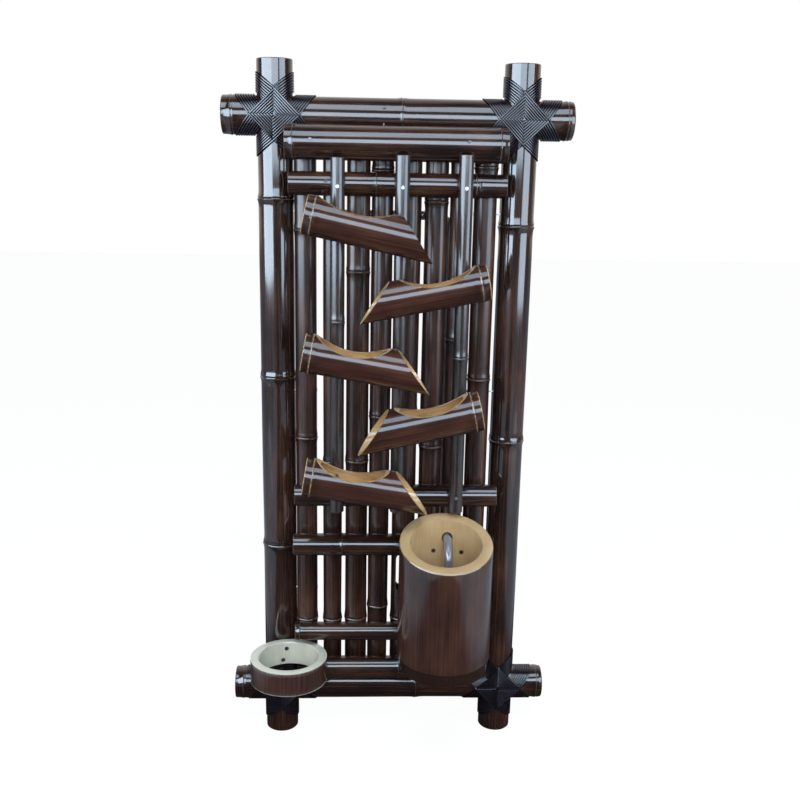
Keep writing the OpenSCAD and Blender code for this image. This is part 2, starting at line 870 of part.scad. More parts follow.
module side_nails()
{
    color(steel)
        placed()
            side_nail_set();
}

// From the front: one in the top rail, two in the valance rail, one in each of two cross rails
front_nail_x = [-129, 100, -107, -97];
front_nail_rails = [valance, valance, upper, lower];
module front_nail_set(play = 0)
{
    for (k = [0:len(front_nail_x) - 1])
    {
        rail = front_nail_rails[k];
        translate([front_nail_x[k], rail_y(rail) - rail[0] / 2, rail[1] + 4])
            mirror([0, 1, 0])
                nail(rail[0] + joint_gap + slat_wall + 6, play);
    }
    top_y = front_y + slat_wall / 2;
    rise = sqrt(pow(top_rail_d / 2, 2) - pow(top_y - axis_y, 2));
    translate([slat_x(3), top_y, rail_spacing + rise])
        rotate([90, 0, 0])
            nail(2 * rise + 20, play, nail_head_d * 3);
}

module front_nails()
{
    color(steel)
        placed()
            front_nail_set();
}

// Through each cane into the upper and the middle cross rails
module cane_nail_set(play = 0)
{
    for (i = [0:2])
        for (z = [upper_z - 3, middle_z + 9])
            translate([cane_x[i], cane_y - cane_d / 2, z])
                mirror([0, 1, 0])
                    nail(cane_d + joint_gap + cross_wall + 6, play);
}

module cane_nails()
{
    color(steel)
        placed()
            cane_nail_set();
}

// Countersunk screws. The head's face is at the origin and the shank runs along +Y
module screw(length, play = 0)
{
    head_r = screw_head_d / 2 + play;
    shank_r = screw_d / 2 + play;
    rotate([-90, 0, 0])
    {
        cylinder(r = shank_r, h = length);
        cylinder(r1 = head_r, r2 = shank_r, h = head_r - shank_r);
        if (play > 0)
            translate([0, 0, -6])
                cylinder(r = head_r, h = 6 + eps);
    }
}

// From inside each trough, through its back and into two canes
module trough_screw_set(play = 0)
{
    for (i = [0:len(trough_side) - 1])
        for (k = trough_canes[i])
            translate([cane_x[k], trough_back - trough_wall + 0.6, trough_axis_z(i, cane_x[k])])
                screw(trough_wall + cane_d - 6, play);
}

module trough_screws()
{
    color(steel)
        placed()
            trough_screw_set();
}

// From inside the tank, through its back and into the lower cross rail
tank_screw_x = [-15, 29];
tank_screw_rise = 5;
module tank_screw_set(play = 0)
{
    for (x = tank_screw_x)
    {
        inner = sqrt(pow(tank_inner, 2) - pow(x, 2));
        outer = sqrt(pow(tank_r, 2) - pow(x, 2));
        translate([tank_x + x, tank_y + inner + 0.6, lower_z + tank_screw_rise])
            screw(outer - inner + (tank_r - outer) + cross_wall + 8, play);
    }
}

module tank_screws()
{
    color(steel)
        placed()
            tank_screw_set();
}

// From inside the ring, through its back and into the left stile
ring_screw_z = [-12, 8];
ring_screw_turn = [3.5, -3.5];
module ring_screw_set(play = 0)
{
    lean = atan2(ring_offset, axis_y - ring_y);
    for (k = [0, 1])
        ring_frame()
            rotate([0, 0, lean + ring_screw_turn[k]])
                translate([0, ring_bore / 2 + 0.6, ring_screw_z[k]])
                    screw((ring_d - ring_bore) / 2 + stile_wall + 3, play);
}

module ring_screws()
{
    color(steel)
        placed()
            ring_screw_set();
}

// Pump. Its frame has the outlet's axis through the origin, +Y along the shaft to the back
module pump_frame()
{
    placed()
        translate([hose_x, hose_pump_y, pump_z()])
            children();
}

// A block with rounded upright edges
module rounded_block(w, y0, y1, h, r)
{
    linear_extrude(height = h)
    {
        translate([-w / 2 + r, y0])
            square([w - 2 * r, y1 - y0]);
        translate([-w / 2, y0 + r])
            square([w, y1 - y0 - 2 * r]);
        for (x = [-w / 2 + r, w / 2 - r])
            for (y = [y0 + r, y1 - r])
                translate([x, y])
                    circle(r = r);
    }
}

// A disc or tube along +Y, from y0 to y1, on the shaft's axis
module on_shaft(r, y0, y1)
{
    translate([0, y0, shaft_z])
        rod_y(2 * r, y1 - y0);
}

// The gland's seat on the side of the housing
gland_y = 18;
gland_r = 3.5;
gland_bore = 1.6;
module gland_bore_hole(length)
{
    translate([pump_w / 2 - length, gland_y, shaft_z])
        along_x()
            cylinder(r = gland_bore, h = 2 * length);
}

module pump_housing()
{
    color(black_plastic)
        pump_frame()
            difference()
            {
                rounded_block(pump_w, -chamber_half, pump_back, pump_h, 4);
                on_shaft(chamber_r, -chamber_half - 1, chamber_half);
                on_shaft(well_r, 0, well_end);
                on_shaft(bush_r, 0, well_end + bush_len);
                translate([0, 0, shaft_z])
                    cylinder(r = nozzle_bore, h = pump_h);
                translate([0, 0, pump_h - 5])
                    cylinder(r = nozzle_r, h = 6);
                translate([-pump_w / 2 + pump_wall, chamber_half + 2, -1])
                    cube([pump_w - 2 * pump_wall, pump_back - chamber_half - 2 - pump_wall,
                        shaft_z - well_r - 2 + 1]);
                for (side = [-1, 1])
                    translate([side > 0 ? well_r + 2 : -pump_w / 2 + pump_wall, chamber_half + 2, -1])
                        cube([pump_w / 2 - pump_wall - well_r - 2, pump_back - chamber_half - 2 - pump_wall,
                            pump_h - pump_wall + 1]);
                gland_bore_hole(pump_wall + 1);
            }
}

// The plate that closes the housing below and holds the suction cups
module pump_base()
{
    color(black_plastic)
        pump_frame()
            difference()
            {
                translate([-pump_w / 2 + pump_wall + 0.1, chamber_half + 2.1, 0])
                    cube([pump_w - 2 * pump_wall - 0.2, pump_back - chamber_half - 2.2 - pump_wall, 2]);
                cup_set(0.05);
            }
}

// The stator: a U of sheet steel with one leg on each side of the rotor well
module pump_stator()
{
    y0 = chamber_half + 4;
    len_y = pump_back - pump_wall - 2 - y0;
    out_x = pump_w / 2 - pump_wall - 0.5;
    leg = out_x - well_r - 2.5;
    color(steel)
        pump_frame()
        {
            translate([-out_x, y0, cavity_z])
                cube([2 * out_x, len_y, 3]);
            for (x = [-out_x, out_x - leg])
                translate([x, y0, cavity_z])
                    cube([leg, len_y, shaft_z + 6]);
        }
}

// The coil lies over the foot of the U, under the rotor well
module pump_coil()
{
    y0 = chamber_half + 4;
    len_y = pump_back - pump_wall - 2 - y0;
    color([0.6, 0.3, 0.15])
        pump_frame()
            translate([-well_r - 1.5, y0, cavity_z + 3.2])
                cube([2 * well_r + 3, len_y, shaft_z - well_r - 2.5 - cavity_z - 3.2]);
}

module impeller()
{
    color([0.15, 0.15, 0.16])
        pump_frame()
            difference()
            {
                union()
                {
                    on_shaft(rotor_d / 2, chamber_half + 1, chamber_half + 1 + rotor_len);
                    on_shaft(4, chamber_half - 2, chamber_half + 2);
                    on_shaft(impeller_d / 2, chamber_half - 2.2, chamber_half - 1);
                    on_shaft(2.6, -3.5, chamber_half - 1);
                    for (a = [0:60:300])
                        translate([0, 0, shaft_z])
                            rotate([0, a, 0])
                                translate([1.5, -3, -0.5])
                                    cube([impeller_d / 2 - 2, chamber_half + 1.2, 1]);
                }
                on_shaft(shaft_d / 2 + shaft_play, -far / 2, far / 2);
            }
}

module impeller_shaft()
{
    color([0.9, 0.9, 0.88])
        pump_frame()
            on_shaft(shaft_d / 2, cover_y - cover_t - neck_len + 1.2, well_end + bush_len - 0.3);
}

// Rubber bushes at the two ends of the shaft
module shaft_bushes()
{
    front = cover_y - cover_t - neck_len + 1.2;
    color([0.2, 0.2, 0.2])
        pump_frame()
            for (y = [front, well_end])
                difference()
                {
                    on_shaft(bush_r - 0.02, y, y + bush_len - 0.3);
                    on_shaft(shaft_d / 2 + 0.01, y - 1, y + bush_len + 1);
                }
}

// Two opposite quarter openings round the shaft's axis
module quarter_ports(y0, y1)
{
    translate([0, y0, shaft_z])
        rotate([-90, 0, 0])
            for (a = [0, 180])
                rotate([0, 0, a + 4])
                    rotate_extrude(angle = 82)
                        translate([bush_r + 1.2, 0])
                            square([inlet_r - bush_r - 1.2, y1 - y0]);
}

// The plate over the chamber, with a neck that carries the front bush
module volute_cover()
{
    tip = cover_y - cover_t - neck_len;
    color(black_plastic)
        pump_frame()
            difference()
            {
                union()
                {
                    on_shaft(chamber_r + 2.5, cover_y - cover_t, cover_y);
                    on_shaft(neck_r, tip, cover_y);
                }
                difference()
                {
                    on_shaft(inlet_r, tip + 1.2, cover_y + 1);
                    on_shaft(bush_r + 1, tip, tip + 1.2 + bush_len);
                }
                on_shaft(bush_r, tip + 1.2, tip + 1.2 + bush_len + 1);
                quarter_ports(tip - 1, tip + 2);
            }
}

// The dial: a cap that turns on the neck and closes the quarter openings
module flow_dial()
{
    tip = dial_y - dial_wall + 0.2;
    color([0.12, 0.12, 0.14])
        pump_frame()
            difference()
            {
                union()
                {
                    on_shaft(neck_r + dial_play + dial_wall, tip, cover_y - cover_t - 0.3);
                    on_shaft(stem_r, tip - 6, tip + 0.5);
                    on_shaft(knob_r, tip - 6 - knob_t, tip - 5.5);
                    translate([-1, tip - 6 - knob_t - 2.5, shaft_z - knob_r + 1])
                        cube([2, 3, 2 * knob_r - 2]);
                }
                on_shaft(neck_r + dial_play, dial_y + 0.2, 0);
                quarter_ports(tip - 1, dial_y + 1);
            }
}

// The strainer: a slotted shell over the front of the pump, with a hole for the dial's knob
module strainer_cover()
{
    pitch = 4;
    color(black_plastic)
        pump_frame()
            difference()
            {
                translate([-pump_w / 2, shell_y, 0])
                    cube([pump_w, shell_len, pump_h]);
                translate([-pump_w / 2 + shell_t, shell_y + shell_t, shell_t])
                    cube([pump_w - 2 * shell_t, shell_len, pump_h - 2 * shell_t]);
                on_shaft(knob_r + 0.6, shell_y - 1, shell_y + shell_t + 1);
                for (x = [-14:pitch:14])
                    if (abs(x) > knob_r + 1)
                        translate([x - 0.9, shell_y - 1, 6])
                            cube([1.8, shell_t + 2, pump_h - 12]);
                for (z = [8:pitch:pump_h - 8])
                    translate([-pump_w / 2 - 1, shell_y + 3, z - 0.9])
                        cube([pump_w + 2, shell_len - 6, 1.8]);
            }
}

// The barbed outlet that the hose is pushed over
module outlet_nozzle()
{
    color(black_plastic)
        pump_frame()
            difference()
            {
                union()
                {
                    translate([0, 0, pump_h - 4.8])
                        cylinder(r = nozzle_r - 0.05, h = nozzle_h + 4.8);
                    translate([0, 0, pump_h + 0.1])
                        cylinder(r = nozzle_r + 1.5, h = 1.6);
                }
                translate([0, 0, pump_h - 6])
                    cylinder(r = nozzle_bore, h = nozzle_h + 8);
            }
}

// Rubber suction cups, each with a stem in the base plate
module cup_set(play = 0)
{
    for (x = [-12, 12])
        for (y = [13, 22.5])
            translate([x, y, 0])
                rotate_extrude()
                    polygon([[0, -cup_h + 1.5], [0.8, -cup_h + 1.5], [3 + play, -cup_h], [4 + play, -cup_h],
                        [1.8 + play, 0], [1.8 + play, 2], [0, 2]]);
}

module suction_cups()
{
    color([0.75, 0.75, 0.72])
        pump_frame()
            cup_set();
}

// The gland where the mains lead enters the housing
module cord_gland()
{
    color(black_plastic)
        pump_frame()
            translate([pump_w / 2 + 0.05, gland_y, shaft_z])
                along_x()
                    difference()
                    {
                        cylinder(r1 = gland_r, r2 = gland_r - 1, h = 6);
                        translate([0, 0, -1])
                            cylinder(r = gland_bore, h = 8);
                    }
}

stile(-1, left_nodes);  // stile_left
stile(1, right_nodes);  // stile_right
frame_rail(true);  // top_rail
frame_rail(false);  // bottom_rail
lashing(0);  // lashing_top_left
lashing(1);  // lashing_top_right
lashing(2);  // lashing_bottom_left
lashing(3);  // lashing_bottom_right
corner_pegs();
slat(0);  // slat_1
slat(1);  // slat_2
slat(2);  // slat_3
slat(3);  // slat_4
slat(4);  // slat_5
slat(5);  // slat_6
slat(6);  // slat_7
slat(7);  // slat_8
cross_rail(valance);  // valance_rail
cross_rail(upper);  // upper_cross_rail
cross_rail(middle);  // middle_cross_rail
cross_rail(lower);  // lower_cross_rail
cross_rail(tank_rail);  // tank_cross_rail
cross_rail(foot);  // foot_rail
cane(0);  // cane_left
cane(1);  // cane_middle
cane(2);  // cane_right
trough(0);  // trough_1
trough(1);  // trough_2
trough(2);  // trough_3
trough(3);  // trough_4
trough(4);  // trough_5
water_tank();
pot_ring();
supply_hose();
hose_staples();
screen_nails();
side_nails();
front_nails();
cane_nails();
trough_screws();
tank_screws();
ring_screws();
pump_housing();
pump_base();
pump_stator();
pump_coil();
impeller();
impeller_shaft();
shaft_bushes();
volute_cover();
flow_dial();
strainer_cover();
outlet_nozzle();
suction_cups();
cord_gland();
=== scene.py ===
"""Looks of the bamboo cascade fountain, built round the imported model.

Stained culms, rattan lashings, troughs, the tank, the pot ring and the supply hose are made here, and
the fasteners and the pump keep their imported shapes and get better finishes. Sizes in the classes are
in millimetres, and heights count from the axis of the bottom rail, as in the part's source. A mesh is
scaled to metres and moved down by the height of the hang holes when it is made.
"""

import json
import logging
import math
from dataclasses import dataclass, field
from enum import Enum
from typing import Callable, Iterable, Sequence

import bpy
import numpy as np
from mathutils import Matrix, Vector

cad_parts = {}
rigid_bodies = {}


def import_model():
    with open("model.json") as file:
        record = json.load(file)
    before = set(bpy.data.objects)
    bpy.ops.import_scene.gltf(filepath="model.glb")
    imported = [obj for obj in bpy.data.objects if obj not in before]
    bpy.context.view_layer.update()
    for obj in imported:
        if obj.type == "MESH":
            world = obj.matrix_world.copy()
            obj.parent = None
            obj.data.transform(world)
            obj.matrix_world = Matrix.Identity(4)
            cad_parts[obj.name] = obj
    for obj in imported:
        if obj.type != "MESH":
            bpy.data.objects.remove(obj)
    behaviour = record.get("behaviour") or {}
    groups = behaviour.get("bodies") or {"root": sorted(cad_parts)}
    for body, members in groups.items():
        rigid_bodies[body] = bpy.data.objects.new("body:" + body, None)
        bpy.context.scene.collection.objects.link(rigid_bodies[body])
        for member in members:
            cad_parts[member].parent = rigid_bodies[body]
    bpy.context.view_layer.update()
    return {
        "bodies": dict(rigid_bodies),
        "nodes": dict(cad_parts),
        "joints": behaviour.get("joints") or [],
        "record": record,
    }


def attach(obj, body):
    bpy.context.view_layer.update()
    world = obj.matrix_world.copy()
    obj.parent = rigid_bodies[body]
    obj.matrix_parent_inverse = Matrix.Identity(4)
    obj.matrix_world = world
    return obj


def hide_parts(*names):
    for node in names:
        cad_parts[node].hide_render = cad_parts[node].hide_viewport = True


LOG = logging.getLogger("fountain")
MM = 0.001  # a millimetre in metres
TINY = 1e-6  # a radius that counts as a point, in millimetres, and the reach of a weld, in metres
HANG_Z = 865.0  # height of the hang holes over the axis of the bottom rail
BODY = "fountain"  # the body that every piece made here rides on
Point = tuple[float, float, float]


# --------------------------------------------------------------------------- sizes shared by the pieces


@dataclass(frozen=True)
class FrameSizes:
    """Sizes of the lashed frame, in millimetres.

    Attributes:
        stile_x: distance of the stiles' axes from the middle.
        stile_d: diameter of the stiles.
        stile_wall: their wall.
        stile_past: how far they go past the rails' axes.
        rail_gap: height of the top rail's axis over the bottom rail's.
        top_d: diameter of the top rail.
        bottom_d: diameter of the bottom rail.
        rail_wall: their wall.
        rail_half: half their length.
        joint_gap: gap between pieces that lie on each other.
        hang_hole: diameter of the hang holes in the stiles.
        screen_front: depth of the front of the slats.
        lap_reach: how far the cutters of a half lap go to either side.
        strand_side: room that a lashing takes beside a culm.
        strand_reach: room that it takes along a culm, from the corner's middle.
        strand_depth: room that it takes in front of a culm.
    """

    stile_x: float = 185.0
    stile_d: float = 54.0
    stile_wall: float = 7.0
    stile_past: float = 80.0
    rail_gap: float = 940.0
    top_d: float = 57.0
    bottom_d: float = 53.0
    rail_wall: float = 6.5
    rail_half: float = 263.0
    joint_gap: float = 0.3
    hang_hole: float = 10.0
    screen_front: float = -54.7
    lap_reach: float = 50.0
    strand_side: float = 6.4
    strand_reach: float = 63.9
    strand_depth: float = 4.7

    @property
    def axis_y(self) -> float:
        """Depth of the axes of the stiles and rails."""
        return -self.stile_d / 2

    def corner(self, index: int) -> tuple[float, float, float]:
        """The x, height and rail diameter of a corner, where 0 and 1 are at the top and the left is first."""
        x = -self.stile_x if index % 2 == 0 else self.stile_x
        return (x, self.rail_gap, self.top_d) if index < 2 else (x, 0.0, self.bottom_d)


SIZES = FrameSizes()


def place(x: float, y: float, z: float) -> Vector:
    """Turns a point of the source into the model's metres."""
    return Vector((x * MM, y * MM, (z - HANG_Z) * MM))


def add_object(name: str, data: bpy.types.ID) -> bpy.types.Object:
    """Puts a mesh, a lamp or a camera into the scene.

    Args:
        name: the object's name.
        data: what it shows.

    Returns:
        The object.
    """
    made = bpy.data.objects.new(name, data)
    bpy.context.scene.collection.objects.link(made)
    return made


# --------------------------------------------------------------------------- shader building


class ShaderTree:
    """Builds the node tree of one material, or of the world."""

    def __init__(self, name: str, world: bpy.types.World | None = None) -> None:
        """Starts an empty tree.

        Args:
            name: the material's name.
            world: the world that gets the tree, in place of a new material.
        """
        self.owner = world or bpy.data.materials.new(name)
        self.owner.use_nodes = True
        self.nodes, self.links = self.owner.node_tree.nodes, self.owner.node_tree.links
        self.nodes.clear()

    def add(self, kind: str, settings: dict | None = None, **inputs: object) -> bpy.types.Node:
        """Adds a node and fills its inputs.

        Args:
            kind: the node's type name.
            settings: attributes to set on the node.
            inputs: values or output sockets by input name, with underscores for spaces.

        Returns:
            The new node.
        """
        node = self.nodes.new(kind)
        for key, value in (settings or {}).items():
            setattr(node, key, value)
        for key, value in inputs.items():
            self.fill(node.inputs[key.replace("_", " ")], value)
        return node

    def fill(self, socket: bpy.types.NodeSocket, value: object) -> None:
        """Links a socket to an output, or sets its value. A colour may leave out its alpha.

        Args:
            socket: the input.
            value: an output, a number or a tuple.
        """
        if isinstance(value, bpy.types.NodeSocket):
            self.links.new(value, socket)
        else:
            socket.default_value = (*value, 1.0) if socket.type == "RGBA" and len(value) == 3 else value

    def maths(self, operation: str, *values: object) -> bpy.types.NodeSocket:
        """Adds a Math node.

        Args:
            operation: the operation's name.
            values: numbers or output sockets for its inputs in order.

        Returns:
            The node's output.
        """
        node = self.nodes.new("ShaderNodeMath")
        node.operation = operation
        for socket, value in zip(node.inputs, values):
            self.fill(socket, value)
        return node.outputs[0]

    def weigh(self, first: object, share: float, second: object) -> bpy.types.NodeSocket:
        """Adds a share of one value to the rest of another."""
        return self.maths("ADD", self.maths("MULTIPLY", first, share), self.maths("MULTIPLY", second, 1.0 - share))

    def mix(self, factor: object, first: object, second: object) -> bpy.types.NodeSocket:
        """Mixes two colours.

        Args:
            factor: share of the second colour.
            first: the first colour.
            second: the second colour.

        Returns:
            The mixed colour's output.
        """
        node = self.add("ShaderNodeMix", {"data_type": "RGBA"})
        for socket, value in zip((node.inputs[0], node.inputs[6], node.inputs[7]), (factor, first, second)):
            self.fill(socket, value)
        return node.outputs[2]

    def mix_shaders(self, factor: object, first: object, second: object) -> bpy.types.NodeSocket:
        """Mixes two shaders.

        Args:
            factor: share of the second shader.
            first: the first shader.
            second: the second shader.

        Returns:
            The mixed shader's output.
        """
        node = self.nodes.new("ShaderNodeMixShader")
        for socket, value in zip(node.inputs, (factor, first, second)):
            self.fill(socket, value)
        return node.outputs[0]

    def ramp(self, factor: object, stops: Sequence[tuple[float, tuple]]) -> bpy.types.NodeSocket:
        """Adds a colour ramp.

        Args:
            factor: the output that drives it.
            stops: pairs of position and colour.

        Returns:
            The ramp's colour output.
        """
        node = self.nodes.new("ShaderNodeValToRGB")
        elements = node.color_ramp.elements
        while len(elements) < len(stops):
            elements.new(0.5)
        for element, (position, colour) in zip(elements, stops):
            element.position, element.color = position, (*colour, 1.0)
        self.fill(node.inputs[0], factor)
        return node.outputs[0]

    def spread(self, source: object, low: float, high: float, to_low: float, to_high: float,
               shape: str = "SMOOTHSTEP") -> bpy.types.NodeSocket:
        """Maps one range of values to another.

        Args:
            source: the output to map.
            low: value that gives to_low.
            high: value that gives to_high.
            to_low: result at low.
            to_high: result at high.
            shape: how the values between run.

        Returns:
            The mapped output.
        """
        node = self.add("ShaderNodeMapRange", {"interpolation_type": shape}, Value=source)
        for index, value in enumerate((low, high, to_low, to_high), start=1):
            node.inputs[index].default_value = value
        return node.outputs[0]

    def noise(self, vector: object, scale: Point, detail: float = 4.0, roughness: float = 0.55) -> bpy.types.NodeSocket:
        """Adds noise on a stretched vector.

        Args:
            vector: the coordinates.
            scale: how much each coordinate is stretched.
            detail: octaves.
            roughness: weight of the finer octaves.

        Returns:
            The noise's value.
        """
        stretched = self.add("ShaderNodeMapping", Vector=vector, Scale=scale)
        node = self.add("ShaderNodeTexNoise", Vector=stretched.outputs[0], Scale=1.0, Detail=detail,
                        Roughness=roughness)
        return node.outputs[0]

    def attribute(self, name: str) -> bpy.types.NodeSocket:
        """Reads a vector that the mesh carries."""
        return self.add("ShaderNodeAttribute", {"attribute_name": name}).outputs["Vector"]

    def split(self, vector: object) -> Sequence[bpy.types.NodeSocket]:
        """The three numbers of a vector."""
        return self.add("ShaderNodeSeparateXYZ", Vector=vector).outputs

    def coordinates(self, name: str = "Object") -> bpy.types.NodeSocket:
        """The coordinates of a piece, or of the surroundings."""
        return self.add("ShaderNodeTexCoord").outputs[name]

    def finish(self, shader: bpy.types.NodeSocket) -> bpy.types.Material | bpy.types.World:
        """Ends the tree with its output.

        Args:
            shader: the shader to show.

        Returns:
            The finished material or world.
        """
        kind = "World" if isinstance(self.owner, bpy.types.World) else "Material"
        self.links.new(shader, self.nodes.new(f"ShaderNodeOutput{kind}").inputs["Surface"])
        return self.owner


# --------------------------------------------------------------------------- finishes


@dataclass(frozen=True)
class StainedCulm:
    """Stained and lacquered bamboo, with its cut wood stained too or left bare.

    The skin is nearly black with redder streaks along the grain. Cut wood has fibre ends. A node has a thin line.
    Painted shade darkens the skin round a node and by an end, and the tank's band below its node is dark.

    Attributes:
        name: the material's name.
        dark: colour of the darkest streaks.
        middle: colour between the streaks.
        warm: colour of the reddest streaks.
        warmth: moves the skin towards warm.
        contrast: how far the streaks differ.
        bare_pale: palest colour of cut wood.
        bare_dark: darkest colour of cut wood.
        bare_tone: how wide the range of cut wood's tones is.
        line: colour of a node's line.
        gloss: weight of the lacquer.
        haze: roughness of the lacquer.
    """

    name: str
    dark: Point = (0.011, 0.0058, 0.0048)
    middle: Point = (0.042, 0.0175, 0.0118)
    warm: Point = (0.115, 0.05, 0.029)
    warmth: float = 0.5
    contrast: float = 1.0
    bare_pale: Point = (0.10, 0.06, 0.04)
    bare_dark: Point = (0.022, 0.012, 0.009)
    bare_tone: float = 0.35
    line: Point = (0.10, 0.058, 0.036)
    gloss: float = 1.0
    haze: float = 0.11

    def material(self) -> bpy.types.Material:
        """Builds the material.

        Returns:
            The finished material.
        """
        tree = ShaderTree(self.name)
        grain = tree.attribute("grain")
        scar, bare, painted_shade_and_band = tree.split(tree.attribute("marks"))
        fine = tree.noise(grain, (1500.0, 1500.0, 16.0), 5.0, 0.6)
        streak = tree.noise(grain, (330.0, 330.0, 5.5), 4.0, 0.6)
        patch = tree.noise(grain, (34.0, 34.0, 11.0), 3.0, 0.5)
        worn = tree.noise(grain, (260.0, 260.0, 260.0), 3.0, 0.6)
        fibres = tree.noise(grain, (700.0, 700.0, 30.0), 4.0, 0.6)
        stains = tree.noise(grain, (42.0, 42.0, 28.0), 4.0, 0.6)
        tone = tree.maths("MULTIPLY_ADD", tree.maths("SUBTRACT", fine, 0.5), 0.22, tree.weigh(streak, 0.5, patch))
        tone = tree.maths("MULTIPLY_ADD", tree.maths("SUBTRACT", tone, 0.5), self.contrast,
                          0.5 + (self.warmth - 0.5) * 0.4)
        skin = tree.ramp(tone, [(0.34, self.dark), (0.5, self.middle), (0.66, self.warm)])
        # Painted shade: the skin turns towards its darkest colour round nodes and by the ends, and in the tank's dark
        # band below its node.
        skin = tree.mix(tree.maths("MULTIPLY", painted_shade_and_band, 0.8), skin, self.dark)
        skin = tree.mix(tree.maths("MULTIPLY", scar, tree.spread(worn, 0.35, 0.6, 0.15, 0.8)), skin, self.line)
        wood = tree.spread(tree.weigh(fibres, 0.55, stains), 0.5 - self.bare_tone / 2, 0.5 + self.bare_tone, 0.0, 1.0)
        colour = tree.mix(bare, skin, tree.mix(wood, self.bare_pale, self.bare_dark))
        rough = tree.maths("MULTIPLY_ADD", bare, 0.18, tree.spread(streak, 0.3, 0.7, 0.34, 0.46))
        bump = tree.add("ShaderNodeBump", Strength=0.28, Distance=0.0004, Height=tree.weigh(fine, 0.35, streak))
        shader = tree.add("ShaderNodeBsdfPrincipled", Base_Color=colour, Roughness=rough, Normal=bump.outputs[0],
                          Specular_IOR_Level=0.02, Coat_Weight=self.gloss, Coat_Roughness=self.haze, Coat_IOR=1.65)
        return tree.finish(shader.outputs[0])


@dataclass(frozen=True)
class Rattan:
    """Dyed rattan strand: nearly black, with fibres along it, a sheen on its crest alone and painted shade on its
    sides.

    Attributes:
        name: the material's name.
        dark: its darkest colour.
        light: its palest colour.
        painted_edge_shade: painted shade, a near-black colour on the strand's sides, where they sink between
            neighbouring strands.
        crest: heights over the strand's middle, in metres, between which the sheen comes in and the painted shade of
            the sides turns to the strand's own colour.
    """

    name: str = "dyed_rattan"
    dark: Point = (0.0065, 0.0045, 0.008)
    light: Point = (0.03, 0.02, 0.036)
    painted_edge_shade: Point = (0.0015, 0.0012, 0.0018)
    crest: tuple[float, float] = (0.0011, 0.0018)

    def material(self) -> bpy.types.Material:
        """Builds the material.

        Returns:
            The finished material.
        """
        tree = ShaderTree(self.name)
        grain = tree.attribute("grain")
        fibre = tree.noise(grain, (2600.0, 2600.0, 60.0), 4.0, 0.6)
        patch = tree.noise(grain, (60.0, 60.0, 24.0), 3.0, 0.5)
        crest = tree.spread(tree.split(grain)[0], *self.crest, 0.0, 1.0)
        colour = tree.ramp(tree.weigh(fibre, 0.55, patch), [(0.36, self.dark), (0.66, self.light)])
        bump = tree.add("ShaderNodeBump", Strength=0.5, Distance=0.0003, Height=fibre)
        # Painted shade: the strand's sides are near black, and only its crest shows its own colour.
        shader = tree.add("ShaderNodeBsdfPrincipled", Base_Color=tree.mix(crest, self.painted_edge_shade, colour),
                          Roughness=tree.spread(patch, 0.3, 0.7, 0.4, 0.5), Normal=bump.outputs[0],
                          Specular_IOR_Level=0.0, Coat_Weight=crest, Coat_Roughness=0.17, Coat_IOR=1.75)
        return tree.finish(shader.outputs[0])


@dataclass(frozen=True)
class SolidFinish:
    """A metal, plastic, rubber, ceramic or wood finish on Object coordinates, with fine marks and paler clouds.

    Attributes:
        name: the material's name.
        colour: its main colour.
        second: its colour in the clouds.
        roughness: its middle roughness.
        spread: how far the marks change the roughness.
        metallic: 1 for a metal.
        scale: how fine the marks are along each axis.
        bump: how deep the marks look.
        transmission: share of light that passes.
        coat: weight of a clear coat.
    """

    name: str
    colour: Point
    second: Point
    roughness: float = 0.4
    spread: float = 0.15
    metallic: float = 0.0
    scale: Point = (400.0, 400.0, 400.0)
    bump: float = 0.15
    transmission: float = 0.0
    coat: float = 0.0

    def material(self) -> bpy.types.Material:
        """Builds the material.

        Returns:
            The finished material.
        """
        tree = ShaderTree(self.name)
        where = tree.coordinates()
        marks = tree.noise(where, self.scale, 5.0, 0.6)
        cloud = tree.noise(where, tuple(0.12 * s for s in self.scale), 3.0, 0.5)
        colour = tree.mix(tree.spread(cloud, 0.35, 0.65, 0.0, 1.0), self.colour, self.second)
        rough = tree.spread(marks, 0.3, 0.7, max(0.03, self.roughness - self.spread), self.roughness + self.spread)
        bump = tree.add("ShaderNodeBump", Strength=self.bump, Distance=0.0002, Height=marks)
        shader = tree.add("ShaderNodeBsdfPrincipled", Base_Color=colour, Roughness=rough, Normal=bump.outputs[0],
                          Metallic=self.metallic, Transmission_Weight=self.transmission, Coat_Weight=self.coat)
        return tree.finish(shader.outputs[0])


class Stain(Enum):
    """The stains of the bamboo pieces."""

    FRAME = StainedCulm("stain_frame", warmth=0.42)
    SLAT = StainedCulm("stain_slat", warmth=0.5, line=(0.2, 0.12, 0.07), gloss=0.6, haze=0.25)
    RAIL = StainedCulm("stain_rail", warmth=0.45)
    CANE = StainedCulm("stain_cane", dark=(0.014, 0.011, 0.012), middle=(0.036, 0.024, 0.022),
                       warm=(0.08, 0.047, 0.036), warmth=0.5, gloss=0.85, haze=0.22)
    TROUGH = StainedCulm("stain_trough", dark=(0.02, 0.0085, 0.0062), middle=(0.058, 0.0215, 0.0145),
                         warm=(0.12, 0.048, 0.028), contrast=0.8, bare_pale=(0.72, 0.50, 0.25),
                         bare_dark=(0.38, 0.18, 0.06), line=(0.55, 0.38, 0.2), gloss=0.75)
    TANK = StainedCulm("stain_tank", dark=(0.02, 0.0088, 0.0068), middle=(0.052, 0.0215, 0.0155),
                       warm=(0.098, 0.04, 0.026), warmth=0.55, contrast=0.8, bare_pale=(0.66, 0.49, 0.27),
                       bare_dark=(0.42, 0.22, 0.075), bare_tone=0.6, gloss=0.9)
    RING = StainedCulm("stain_ring", dark=(0.024, 0.012, 0.0095), middle=(0.062, 0.03, 0.024),
                       warm=(0.11, 0.052, 0.035), warmth=0.58, contrast=0.75, bare_pale=(0.86, 0.88, 0.76),
                       bare_dark=(0.6, 0.54, 0.39), bare_tone=0.55, line=(0.3, 0.24, 0.16), gloss=0.9)


